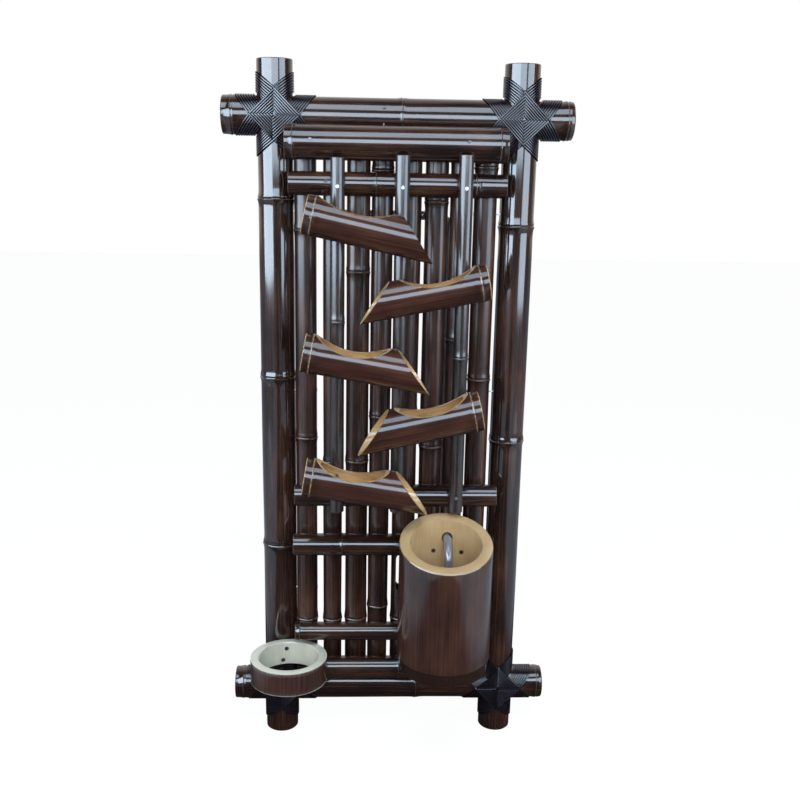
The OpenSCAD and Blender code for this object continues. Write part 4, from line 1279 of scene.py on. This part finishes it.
@dataclass
class Tank:
    """The tank: a stout culm closed by its node, with its rim cut on the slant.

    Attributes:
        stain: its finish.
        axis: its x and y.
        radius: its outer radius.
        bore: its inner radius.
        foot: height of its underside.
        node: height of the node that closes it.
        floor: thickness of the web inside that node.
        rim: height of the rim on the axis.
        slant: fall of the rim towards the front, in degrees.
        lean: height above the node at which the slant begins.
        hose: x, start and height of the hose's hole, and the radius and drop of its arch.
        screw_places: distances of the two screws from the axis, and their height.
    """

    stain: bpy.types.Material
    axis: tuple[float, float] = (79.0, -163.3)
    radius: float = 72.5
    bore: float = 55.0
    foot: float = 107.0
    node: float = 129.0
    floor: float = 6.0
    rim: float = 313.5
    slant: float = 16.5
    lean: float = 5.0
    hose: tuple[float, float, float, float, float] = (85.5, -125.0, 298.0, 8.4, 2.0)
    screw_places: tuple[float, float, float] = (-15.0, 29.0, 277.5)

    def screws(self) -> list[Point]:
        """Faces of the heads of the two screws that hold it to the cross rail.

        Returns:
            Their places, in millimetres.
        """
        x, y = self.axis
        *places, z = self.screw_places
        return [(x + out, y + math.sqrt(self.bore ** 2 - out ** 2) + 0.6, z) for out in places]

    def slanted(self, local: Vector) -> Vector:
        """Leans the rows above the node so that the top one lies in the rim's plane.

        Args:
            local: a point in the tank's own frame, whose X faces the front.

        Returns:
            The point, moved.
        """
        start = self.node + self.lean
        share = max(0.0, (local.z - start) / (self.rim - start))
        return Vector((local.x, local.y, local.z - share * local.x * math.tan(math.radians(self.slant))))

    def unevenness(self, along: float, angle: float) -> float:
        """Extra radius of the skin."""
        return -0.3 + 0.5 * math.sin(2 * angle + 0.6) + 0.3 * math.sin(along / 70) + 0.12 * math.sin(5 * angle + 1)

    def stations(self) -> list[Station]:
        """The tank's profile.

        Returns:
            The stations in order.
        """
        r, b, foot, node, top, web = self.radius, self.bore, self.foot, self.node, self.rim, self.floor / 2
        # The last number of a row darkens the skin: the rounded foot and the whole band up to the node are dark, with
        # painted shade round the node.
        under = [*rings(node - web, b, ((0, -b, 1), (0, 0, 1))), Station(foot + 2, b, 1),
                 *rings(foot, r, ((2, -6, 0.6), (0.3, -4.6, 0, 0, 0.7)))]
        band = [*rings(foot, r, ((0.6, -3.6, 0, 0.2, 0.6), (3, -2.7, 0, 0, 1), (10, -2.2, 0, 0, 1)), True),
                *rings(node, r, ((-6, -1.8, 0, 0, 1), (-2.5, -1.4, 0, 0, 1), (-0.8, -0.3, 0, 0.1, 1),
                                 (0.4, 0.2, 0, 0.3, 0.5), (2.5, -0.1, 0, 0, 0.2), (6, 0)), True)]
        wall = [Station(node + 6 + (top - node - 9) * k / 12, r, live=True) for k in range(1, 12)]
        rim = [*rings(top, r, ((-2.6, 0), (-1.6, -0.25, 0.55, 0.8), (-0.5, -1, 1)), True), Station(top, r - 2.6, 1),
               *rings(top, b, ((-0.1, 8, 1), (-0.2, 2, 1), (-1.2, 0.3, 1), (-4, 0, 1)))]
        inside = [Station(top - 4 - (top - 8 - node - 2 * web) * k / 8, b, 1) for k in range(1, 8)]
        return [*under, *band, *wall, *rim, *inside, *rings(node + web, b, ((2, 0, 1), (0, -2, 1), (0, -b, 1)))]

    def build(self) -> bpy.types.Object:
        """Makes the tank.

        Returns:
            Its object.
        """
        parts = MeshParts()
        parts.revolve(self.stations(), frame_of((*self.axis, 0), (0, 0, 1)), sides=144, shift=7.3,
                      unevenness=self.unevenness, bend=self.slanted)
        piece = parts.build("culm_tank")
        x, y, z, r, drop = self.hose
        arch = [*circle(r, 48, (0, 0), 0, 180), *circle(r, 48, (0, -drop), 180, 180)]
        hole = prism(arch, frame_of((x, y, z), (0, 1, 0), (1, 0, 0)), low=0, high=60)
        cut_away(piece, [hole, *(recess(face, (0, -1, 0)) for face in self.screws())])
        return settle(piece, self.stain, "water_tank")


@dataclass
class PotRing:
    """The ring that holds a plant pot.

    Attributes:
        stain: its finish.
        axis: its x and y at half its height.
        foot: height of its underside.
        radius: its outer radius.
        bore: its inner radius.
        height: its height.
        tilt: lean towards the wall, in degrees.
        screw_places: angle in degrees and height over the middle of each screw.
    """

    stain: bpy.types.Material
    axis: tuple[float, float] = (-166.0, -114.936)
    foot: float = 57.5
    radius: float = 62.0
    bore: float = 48.5
    height: float = 39.0
    tilt: float = 2.0
    screw_places: tuple[tuple[float, float], ...] = ((15.69, -12.0), (8.69, 8.0))

    def unevenness(self, along: float, angle: float) -> float:
        """Extra radius of the skin."""
        return -0.15 + 0.25 * math.sin(2 * angle + 2.1) + 0.1 * math.sin(5 * angle)

    def up(self) -> Vector:
        """The direction of its axis."""
        return Vector((0, math.sin(math.radians(self.tilt)), math.cos(math.radians(self.tilt))))

    def screws(self) -> list[tuple[Point, Point]]:
        """Faces of the heads of the two screws that hold it to the stile, and the directions into the bore.

        Returns:
            A place and a direction for each screw.
        """
        heads, up, middle = [], self.up(), Vector((*self.axis, self.foot + self.height / 2))
        for turn, rise in self.screw_places:
            a = math.radians(turn)
            out = Vector((-math.sin(a), math.cos(a) * up.z, -math.cos(a) * up.y))
            heads.append((tuple(middle + out * (self.bore + 0.6) + up * rise), tuple(-out)))
        return heads

    def stations(self) -> list[Station]:
        """The ring's section, that ends where it starts.

        Returns:
            The stations in order.
        """
        h, r, b = self.height / 2, self.radius, self.bore
        # The lower edge gets a pale line and a little painted shade.
        lower = [Station(-h, b + 1.2, 1), *rings(-h, r, ((0, -1.4, 1), (0.5, -0.4, 0.8, 0.9))),
                 Station(-h + 1.5, r, 0, 0.3, 0.2, True)]
        side = [Station(-h + 1.5 + (2 * h - 3) * k / 6, r, live=True) for k in range(1, 6)]
        upper = [Station(h - 1.5, r, 0.6, 0.6, 0, True), *rings(h, r, ((-0.5, -0.4, 1, 0.3), (0, -1.4, 1))),
                 *rings(h, b, ((0, 1.2, 1), (-1.2, 0, 1)))]
        inside = [Station(h - 1.2 - (2 * h - 2.4) * k / 4, b, 1) for k in range(1, 5)]
        return [*lower, *side, *upper, *inside, lower[0]]

    def build(self) -> bpy.types.Object:
        """Makes the ring.

        Returns:
            Its object.
        """
        parts = MeshParts()
        frame = frame_of((*self.axis, self.foot + self.height / 2), tuple(self.up()))
        parts.revolve(self.stations(), frame, sides=120, shift=9.1, unevenness=self.unevenness)
        piece = parts.build("culm_pot_ring")
        piece.modifiers.new("weld", "WELD").merge_threshold = TINY
        bake_modifiers(piece)
        cut_away(piece, [lashing_room(2), *(recess(*head) for head in self.screws())])
        return settle(piece, self.stain, "pot_ring")


# --------------------------------------------------------------------------- strands


# The nodes of a strand's tree by name.
STRAND_NODES = {
    "start": "NodeGroupInput", "end": "NodeGroupOutput", "line": "GeometryNodeMeshToCurve",
    "facing": "GeometryNodeSetCurveNormal", "top": "GeometryNodeInputNamedAttribute",
    "length": "GeometryNodeSplineParameter", "turn": "GeometryNodeSplineParameter",
    "ring": "GeometryNodeCurvePrimitiveCircle", "flatten": "GeometryNodeTransform", "section": "ShaderNodeCombineXYZ",
    "along": "GeometryNodeCaptureAttribute", "around": "GeometryNodeCaptureAttribute",
    "sweep": "GeometryNodeCurveToMesh", "smooth": "GeometryNodeSetShadeSmooth", "angle": "ShaderNodeMath",
    "cosine": "ShaderNodeMath", "sine": "ShaderNodeMath", "across": "ShaderNodeMath", "up": "ShaderNodeMath",
    "grain": "ShaderNodeCombineXYZ", "store": "GeometryNodeStoreNamedAttribute",
    "realize": "GeometryNodeRealizeInstances", "dress": "GeometryNodeSetMaterial"}
# Its links: a node and its output, then a node and its input.
STRAND_LINKS = (
    ("start", "Line", "line", "Mesh"), ("line", "Curve", "facing", "Curve"), ("top", "Attribute", "facing", "Normal"),
    ("facing", 0, "along", "Geometry"), ("length", "Length", "along", 1),
    ("start", "Strand Sides", "ring", "Resolution"), ("ring", "Curve", "around", "Geometry"),
    ("turn", "Factor", "around", 1), ("start", "Strand Height", "section", 0), ("start", "Strand Width", "section", 1),
    ("around", "Geometry", "flatten", "Geometry"), ("section", 0, "flatten", "Scale"),
    ("along", "Geometry", "sweep", "Curve"), ("flatten", 0, "sweep", "Profile Curve"), ("around", 1, "angle", 0),
    ("angle", 0, "cosine", 0), ("angle", 0, "sine", 0), ("cosine", 0, "across", 0), ("sine", 0, "up", 0),
    ("start", "Strand Height", "across", 1), ("start", "Strand Width", "up", 1), ("across", 0, "grain", 0),
    ("up", 0, "grain", 1), ("along", 1, "grain", 2), ("sweep", 0, "store", "Geometry"), ("grain", 0, "store", "Value"),
    ("store", 0, "smooth", 0), ("smooth", 0, "realize", 0), ("realize", 0, "dress", "Geometry"),
    ("start", "Finish", "dress", "Material"), ("dress", 0, "end", 0))


def strand_tree() -> tuple[bpy.types.NodeTree, dict[str, str]]:
    """Builds the Geometry Nodes that turn a line into a flattened round strand.

    The line's points hold the direction in which the strand's flat top faces.

    Returns:
        The tree, and the identifiers of its sockets by name.
    """
    tree = bpy.data.node_groups.new("flattened_strand", "GeometryNodeTree")
    names = {}
    for name, way, kind in (("Line", "INPUT", "Geometry"), ("Strand Width", "INPUT", "Float"),
                            ("Strand Height", "INPUT", "Float"), ("Strand Sides", "INPUT", "Int"),
                            ("Finish", "INPUT", "Material"), ("Strand", "OUTPUT", "Geometry")):
        names[name] = tree.interface.new_socket(name=name, in_out=way, socket_type=f"NodeSocket{kind}").identifier
    nodes = {name: tree.nodes.new(kind) for name, kind in STRAND_NODES.items()}
    for name in ("along", "around"):
        nodes[name].domain = "POINT"
        nodes[name].capture_items.new("FLOAT", name)
    for name, operation in (("angle", "MULTIPLY"), ("cosine", "COSINE"), ("sine", "SINE"), ("across", "MULTIPLY"),
                            ("up", "MULTIPLY")):
        nodes[name].operation = operation
    nodes["facing"].mode, nodes["top"].data_type = "FREE", "FLOAT_VECTOR"
    nodes["store"].data_type, nodes["store"].domain = "FLOAT_VECTOR", "POINT"
    for name, socket, value in (("top", "Name", "top"), ("ring", "Radius", 0.5), ("section", 2, 1.0),
                                ("sweep", "Fill Caps", True), ("angle", 1, 2 * math.pi), ("store", "Name", "grain")):
        nodes[name].inputs[socket].default_value = value
    for giver, output, taker, socket in STRAND_LINKS:
        tree.links.new(nodes[giver].outputs[output], nodes[taker].inputs[socket])
    return tree, names


def sweep_strand(name: str, line: Sequence[tuple[Vector, Vector]], section: tuple[float, float], sides: int,
                 finish: bpy.types.Material) -> bpy.types.Object:
    """Makes a flattened strand along a line with Geometry Nodes.

    Args:
        name: the piece's name.
        line: the line's points in metres, each with the direction that the strand's top faces.
        section: the strand's width and height in millimetres.
        sides: steps round it.
        finish: its material.

    Returns:
        The finished object, a plain mesh.
    """
    mesh = bpy.data.meshes.new(name)
    mesh.from_pydata([tuple(point) for point, _ in line], [(k, k + 1) for k in range(len(line) - 1)], [])
    tops = []
    for k, (_, top) in enumerate(line):
        ahead = (line[min(k + 1, len(line) - 1)][0] - line[max(k - 1, 0)][0]).normalized()
        tops.extend((top - ahead * top.dot(ahead)).normalized())
    mesh.attributes.new("top", "FLOAT_VECTOR", "POINT").data.foreach_set("vector", tops)
    piece, (tree, names) = add_object(name, mesh), strand_tree()
    modifier = piece.modifiers.new("strand", "NODES")
    modifier.node_group = tree
    for socket, value in (("Strand Width", section[0] * MM), ("Strand Height", section[1] * MM),
                          ("Strand Sides", sides), ("Finish", finish)):
        modifier[names[socket]] = value
    bake_modifiers(piece)
    bpy.data.node_groups.remove(tree)
    return piece


class Arm(Enum):
    """The four arms of a corner, in the order in which the strand goes round them.

    Each value is the arm's direction in x and z, and the direction in which the strand crosses it.
    """

    LEFT = ((-1.0, 0.0), (0.0, -1.0))
    DOWN = ((0.0, -1.0), (1.0, 0.0))
    RIGHT = ((1.0, 0.0), (0.0, 1.0))
    UP = ((0.0, 1.0), (-1.0, 0.0))


@dataclass
class Lashing:
    """A corner lashing: one strand that goes round the four arms in turn and lies in diamonds in front.

    Behind and beside an arm the strand lies on the culm. In front, where it leaves an arm's middle, it rises
    over the strand that has just come in, and stays in the upper layer until the middle of the next arm.

    Attributes:
        finish: the strand's material.
        corner: the corner's number.
        turns: how many times the strand goes round all four arms.
        width: width of the strand.
        height: thickness of the strand.
        first: half height of the smallest diamond.
        step: growth of the diamonds from turn to turn.
        wrap: distance from the corner's middle to the first turn beside an arm, and the step of the turns there.
        seat: gap to the culm.
        rise: distance over which the strand changes layers.
        sides: steps round the strand.
        ramp: depths under the upper layer halfway down and just after an arm's middle, as shares of the thickness.
        lift: how far it stands over the upper layer at an arm's middle.
        angles: angles round an arm at which the strand has a point, from its front middle.
        NAMES: names of the corners.
    """

    NAMES = ("top_left", "top_right", "bottom_left", "bottom_right")

    finish: bpy.types.Material
    corner: int
    turns: int = 8
    width: float = 3.05
    height: float = 1.85
    first: float = 3.6
    step: float = 4.55
    wrap: tuple[float, float] = (31.5, 3.75)
    seat: float = 0.2
    rise: float = 2.3
    sides: int = 10
    ramp: tuple[float, float] = (0.45, 0.1)
    lift: float = 0.1
    angles: tuple[int, ...] = (0, 4, 8, 14, 22, 32, 44, 58, 74, 90, 110, 130, 150, 180, 210, 230, 250, 270, 286, 302,
                               316, 328, 338, 346, 352, 356)

    def visit(self, number: int) -> list[tuple[Vector, Vector]]:
        """The strand's way round one arm, from just before its front middle to just after it.

        Args:
            number: counts the visits from 0.

        Returns:
            The points in metres, each with the direction away from the culm.
        """
        x, z, rail_d = SIZES.corner(self.corner)
        (ax, az), (bx, bz) = list(Arm)[number % 4].value
        radius = (rail_d if number % 2 == 0 else SIZES.stile_d) / 2
        crown = max(rail_d, SIZES.stile_d) / 2
        reach = self.first + self.step * number / 4
        beside = self.wrap[0] + self.wrap[1] * number / 4 - reach
        line = []

        def add(out: float, across: float, rho: float, degrees: float) -> None:
            """Adds a point of the strand.

            Args:
                out: distance along the arm from the corner's middle.
                across: distance across the arm.
                rho: distance from the arm's axis.
                degrees: angle round the arm.
            """
            a = math.radians(degrees)
            depth = SIZES.axis_y - rho * math.cos(a)
            top = Vector((bx * math.sin(a), -math.cos(a), bz * math.sin(a)))
            line.append((place(x + ax * out + bx * across, depth, z + az * out + bz * across), top))

        rise, lower = self.rise, self.seat + self.height / 2
        upper = crown + lower + self.height
        add(reach - rise, -rise, upper, 0)
        add(reach - rise / 2, -rise / 2, upper - self.ramp[0] * self.height, 0)
        for degrees in self.angles:
            a = math.radians(degrees)
            near = max(0.0, math.cos(a))
            rho = radius + (crown - radius) * near ** 2 + lower
            out = reach + beside * (abs(math.sin(a)) if near > 0 else 1.0)
            add(out, rho * math.sin(a), rho, degrees)
        add(reach + rise / 4, -rise / 4, upper - self.ramp[1] * self.height, 360)
        add(reach, 0, upper + self.lift, 360)
        add(reach - rise, rise, upper, 360)
        return line

    def build(self) -> bpy.types.Object:
        """Makes the lashing.

        Returns:
            Its object.
        """
        name = self.NAMES[self.corner]
        line = [step for number in range(4 * self.turns) for step in self.visit(number)]
        piece = sweep_strand(f"strand_{name}", line, (self.width, self.height), self.sides, self.finish)
        return declare(piece, f"lashing_{name}")


# --------------------------------------------------------------------------- hose


@dataclass
class SupplyHose:
    """The clear hose from the pump to the first trough.

    Attributes:
        finish: its material.
        corners: the corners of its route.
        bends: radius at each inner corner.
        radius: its outer radius.
        bore: its inner radius.
        sides: steps round it.
        steps: steps of a bend.
    """

    finish: bpy.types.Material
    corners: tuple[Point, ...] = ((85.5, -145.5, 177.5), (85.5, -145.5, 298.0), (85.5, -9.4, 298.0),
                                  (85.5, -9.4, 795.63), (-108.5, -9.4, 795.63), (-108.5, -122.6, 795.63))
    bends: tuple[float, ...] = (34.0, 26.0, 26.0, 26.0)
    radius: float = 7.0
    bore: float = 5.5
    sides: int = 28
    steps: int = 12

    def route(self) -> list[Vector]:
        """The middle line, with its bends.

        Returns:
            The points, in millimetres of the source.
        """
        corners = [Vector(c) for c in self.corners]
        line = [corners[0]]
        for before, corner, after, r in zip(corners, corners[1:], corners[2:], self.bends):
            back, forth = (before - corner).normalized(), (after - corner).normalized()
            centre = corner + (back + forth) * r
            for k in range(self.steps + 1):
                a = math.pi / 2 * k / self.steps
                line.append(centre - forth * r * math.cos(a) - back * r * math.sin(a))
        line.append(corners[-1])
        return line

    def build(self) -> bpy.types.Object:
        """Makes the hose, a tube with its bore.

        Returns:
            Its object.
        """
        line, sides, parts = self.route(), self.sides, MeshParts()
        side, frames = Vector((1, 0, 0)), []
        for index, point in enumerate(line):
            ahead = (line[min(index + 1, len(line) - 1)] - line[max(index - 1, 0)]).normalized()
            side = (side - ahead * side.dot(ahead)).normalized()
            frames.append((point, side.copy(), ahead.cross(side)))
        loops = [(frame, self.radius) for frame in frames] + [(frame, self.bore) for frame in reversed(frames)]
        for (point, across, up), radius in loops:
            for step in range(sides):
                a = 2 * math.pi * step / sides
                parts.points.append(place(*(point + across * radius * math.cos(a) + up * radius * math.sin(a))))
        for row in range(len(loops)):
            here, after = row * sides, (row + 1) % len(loops) * sides
            for step in range(sides):
                then = (step + 1) % sides
                parts.plain_face((here + step, here + then, after + then, after + step))
        return settle(parts.build("hose_tube"), self.finish, "supply_hose")


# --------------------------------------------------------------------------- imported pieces, light and camera


class PackedFinishes:
    """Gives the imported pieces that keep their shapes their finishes.

    Attributes:
        TABLE: the pieces that get each finish.
        nodes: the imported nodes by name.
    """

    TABLE: dict[Finish, tuple[str, ...]] = {
        Finish.DOWEL: ("corner_pegs",), Finish.LAMINATE: ("pump_stator",), Finish.COPPER: ("pump_coil",),
        Finish.STEEL: ("hose_staples", "screen_nails", "side_nails", "cane_nails", "trough_screws"),
        Finish.DARK_STEEL: ("front_nails", "tank_screws", "ring_screws"), Finish.ROTOR_PLASTIC: ("impeller",),
        Finish.BLACK_PLASTIC: ("pump_housing", "pump_base", "volute_cover", "strainer_cover", "outlet_nozzle",
                               "cord_gland"),
        Finish.DIAL_PLASTIC: ("flow_dial",), Finish.CERAMIC: ("impeller_shaft",),
        Finish.RUBBER: ("shaft_bushes", "suction_cups")}

    def __init__(self, nodes: dict[str, bpy.types.Object]) -> None:
        """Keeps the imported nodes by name."""
        self.nodes = nodes

    def dress(self, made: dict[Finish, bpy.types.Material]) -> None:
        """Puts the finishes into the nodes' material slots.

        Args:
            made: the materials by finish.
        """
        for finish, names in self.TABLE.items():
            for name in names:
                piece = self.nodes[name]
                if not piece.material_slots:
                    piece.data.materials.append(made[finish])
                for slot in piece.material_slots:
                    slot.material = made[finish]
                LOG.info("%s keeps its packed shape and gets %s", name, finish.name)


WINDOW_BLUE: Point = (0.67, 0.83, 1.0)


class Part(Enum):
    """What a lamp does: light the pieces, or be seen in their lacquer as a window is."""

    LIGHT = "light"
    WINDOW = "window"


@dataclass(frozen=True)
class Lamp:
    """A soft rectangular lamp, in metres and watts.

    Attributes:
        name: its name.
        part: what it does.
        place: where it stands.
        target: what it faces.
        size: its width and height.
        power: its power.
        colour: its colour.
    """

    name: str
    part: Part
    place: Point
    target: Point
    size: tuple[float, float]
    power: float
    colour: Point = (0.86, 0.94, 1.0)

    def build(self) -> None:
        """Makes the lamp and turns it to its target."""
        data = bpy.data.lights.new(self.name, "AREA")
        data.shape, data.size, data.size_y = "RECTANGLE", *self.size
        data.energy, data.color = self.power, self.colour
        lamp = add_object(self.name, data)
        lamp.location = self.place
        lamp.rotation_euler = (Vector(self.target) - Vector(self.place)).to_track_quat("-Z", "Y").to_euler()
        lamp.visible_camera = False
        lamp.visible_diffuse = self.part is Part.LIGHT
        lamp.visible_glossy = self.part is Part.WINDOW


@dataclass
class Studio:
    """The floor, the lamps, the surroundings and the camera.

    Attributes:
        lamps: the lamps.
        floor_z: height of the floor, in metres.
        floor_half: half its width.
        dark_strip: distances from the middle between which the floor, as the lacquer shows it, turns from dark to pale.
        glow: strength of the floor's own white, and its share in what the camera sees.
        dim: strength of the surroundings as light, and as the lacquer shows them.
        sky: colour of the surroundings as light.
        white: colour of the surroundings and the floor's glow as the camera sees them.
        behind: heights of a direction's Y between which the lacquer sees the surroundings turn white.
        pale: the floor's two colours as the camera sees it.
        mirrored: its colours in the middle and at the sides, as the lacquer shows it.
        camera_place: place of the camera, in metres.
        camera_turn: its yaw, pitch and roll, in degrees.
        focal: its focal length in pixels of the frame.
        frame: width of the frame in pixels.
        clip: the nearest and farthest distances that it shows.
    """

    lamps: tuple[Lamp, ...] = (
        Lamp("front_light", Part.LIGHT, (0.25, -2.9, 0.55), (0.0, 0.0, 0.0), (1.7, 0.9), 30.0),
        Lamp("top_light", Part.LIGHT, (0.0, -1.7, 2.0), (0.0, 0.0, -0.35), (1.5, 0.45), 32.0),
        Lamp("left_light", Part.LIGHT, (-1.9, -0.9, -0.1), (0.0, 0.0, -0.4), (0.35, 1.6), 11.0),
        Lamp("right_light", Part.LIGHT, (1.9, -1.1, -0.1), (0.0, 0.0, -0.4), (0.5, 1.6), 14.0),
        Lamp("left_window", Part.WINDOW, (-1.45, -1.15, 0.25), (-0.1, 0.0, 0.1), (2.2, 1.3), 115.0, WINDOW_BLUE),
        Lamp("right_window", Part.WINDOW, (1.4, -1.2, 0.15), (0.1, 0.0, 0.05), (1.4, 1.2), 42.0, WINDOW_BLUE),
        Lamp("front_window", Part.WINDOW, (0.0, -1.9, 0.36), (0.0, 0.0, 0.1), (1.4, 0.72), 27.0, WINDOW_BLUE),
        Lamp("roof_window", Part.WINDOW, (0.0, -0.95, 1.3), (0.0, -0.1, -0.3), (1.6, 0.9), 25.0, WINDOW_BLUE))
    floor_z: float = -0.9455
    floor_half: float = 9.0
    dark_strip: tuple[float, float] = (0.42, 0.62)
    glow: tuple[float, float] = (1.07, 0.88)
    dim: tuple[float, float] = (0.38, 0.06)
    sky: Point = (0.84, 0.90, 1.0)
    white: Point = (1.0, 1.0, 1.0)
    behind: tuple[float, float] = (0.05, 0.6)
    pale: tuple[Point, Point] = ((0.84, 0.85, 0.86), (0.82, 0.82, 0.83))
    mirrored: tuple[Point, Point] = ((0.07, 0.065, 0.065), (0.62, 0.68, 0.76))
    camera_place: Point = (-0.0510, -1.5158, 0.0012)
    camera_turn: Point = (-2.346, -13.699, 1.06)
    focal: float = 950.0
    frame: float = 800.0
    clip: tuple[float, float] = (0.05, 60.0)

    def world(self) -> None:
        """Makes even, dim surroundings that the camera, glass and glossy backs see as white."""
        world = bpy.data.worlds.new("studio")
        bpy.context.scene.world = world
        tree = ShaderTree("studio", world)
        path = tree.add("ShaderNodeLightPath").outputs
        behind = tree.spread(tree.split(tree.coordinates("Generated"))[1], *self.behind, 0.0, 1.0, "LINEAR")
        strength = tree.spread(path["Is Glossy Ray"], 0.0, 1.0, *self.dim, "LINEAR")
        light = tree.add("ShaderNodeBackground", Color=self.sky, Strength=strength)
        white = tree.add("ShaderNodeBackground", Color=self.white, Strength=1.0)
        direct = tree.maths("MAXIMUM", path["Is Camera Ray"], path["Is Transmission Ray"])
        seen = tree.maths("MAXIMUM", tree.maths("MULTIPLY", path["Is Glossy Ray"], behind), direct)
        tree.finish(tree.mix_shaders(seen, light.outputs[0], white.outputs[0]))

    def floor(self) -> None:
        """Makes the pale floor, that keeps the object's shadow."""
        tree = ShaderTree("pale_floor")
        path, where = tree.add("ShaderNodeLightPath").outputs, tree.coordinates()
        shown = tree.maths("MAXIMUM", path["Is Camera Ray"], path["Is Transmission Ray"])
        cloud = tree.spread(tree.noise(where, (3.0, 3.0, 3.0), 3.0), 0.3, 0.7, 0.0, 1.0)
        pale = tree.mix(cloud, *self.pale)
        side = tree.spread(tree.maths("ABSOLUTE", tree.split(where)[0]), *self.dark_strip, 0.0, 1.0)
        mirrored = tree.mix(side, *self.mirrored)
        matt = tree.add("ShaderNodeBsdfDiffuse", Color=tree.mix(shown, mirrored, pale))
        glow = tree.add("ShaderNodeEmission", Color=self.white, Strength=self.glow[0])
        share = tree.maths("MULTIPLY", shown, self.glow[1])
        s, z = self.floor_half, self.floor_z
        mesh = bpy.data.meshes.new("studio_floor")
        mesh.from_pydata([(-s, -s, z), (s, -s, z), (s, s, z), (-s, s, z)], [], [(0, 1, 2, 3)])
        mesh.materials.append(tree.finish(tree.mix_shaders(share, matt.outputs[0], glow.outputs[0])))
        add_object("studio_floor", mesh)

    def camera(self) -> None:
        """Sets the camera where the photograph was taken from."""
        yaw, pitch, roll = (math.radians(a) for a in self.camera_turn)
        base = Matrix(((1, 0, 0), (0, 0, -1), (0, 1, 0)))
        turn = Matrix.Rotation(yaw, 3, "Z") @ Matrix.Rotation(pitch, 3, "X") @ base @ Matrix.Rotation(roll, 3, "Z")
        data = bpy.data.cameras.new("camera")
        data.lens = data.sensor_width * self.focal / self.frame
        data.clip_start, data.clip_end = self.clip
        camera = add_object("camera", data)
        camera.matrix_world = Matrix.Translation(self.camera_place) @ turn.to_4x4()
        bpy.context.scene.camera = camera

    def build(self) -> None:
        """Makes the whole studio."""
        bpy.context.scene.view_settings.view_transform = "Standard"
        self.camera()
        self.world()
        self.floor()
        for lamp in self.lamps:
            lamp.build()


def main() -> None:
    """Builds the fountain in order."""
    logging.basicConfig(level=logging.INFO, format="%(name)s: %(message)s")
    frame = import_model()
    Studio().build()
    stains = {stain: stain.value.material() for stain in Stain}
    finishes = {finish: finish.value.material() for finish in Finish}
    rattan = Rattan().material()
    PackedFinishes(frame["nodes"]).dress(finishes)
    LashedFrame(stains[Stain.FRAME]).build()
    Screen(stains[Stain.SLAT], stains[Stain.RAIL], stains[Stain.CANE]).build()
    Cascade(stains[Stain.TROUGH]).build()
    Tank(stains[Stain.TANK]).build()
    PotRing(stains[Stain.RING]).build()
    SupplyHose(finishes[Finish.HOSE]).build()
    for corner in range(4):
        Lashing(rattan, corner).build()


if __name__ == "__main__":
    main()
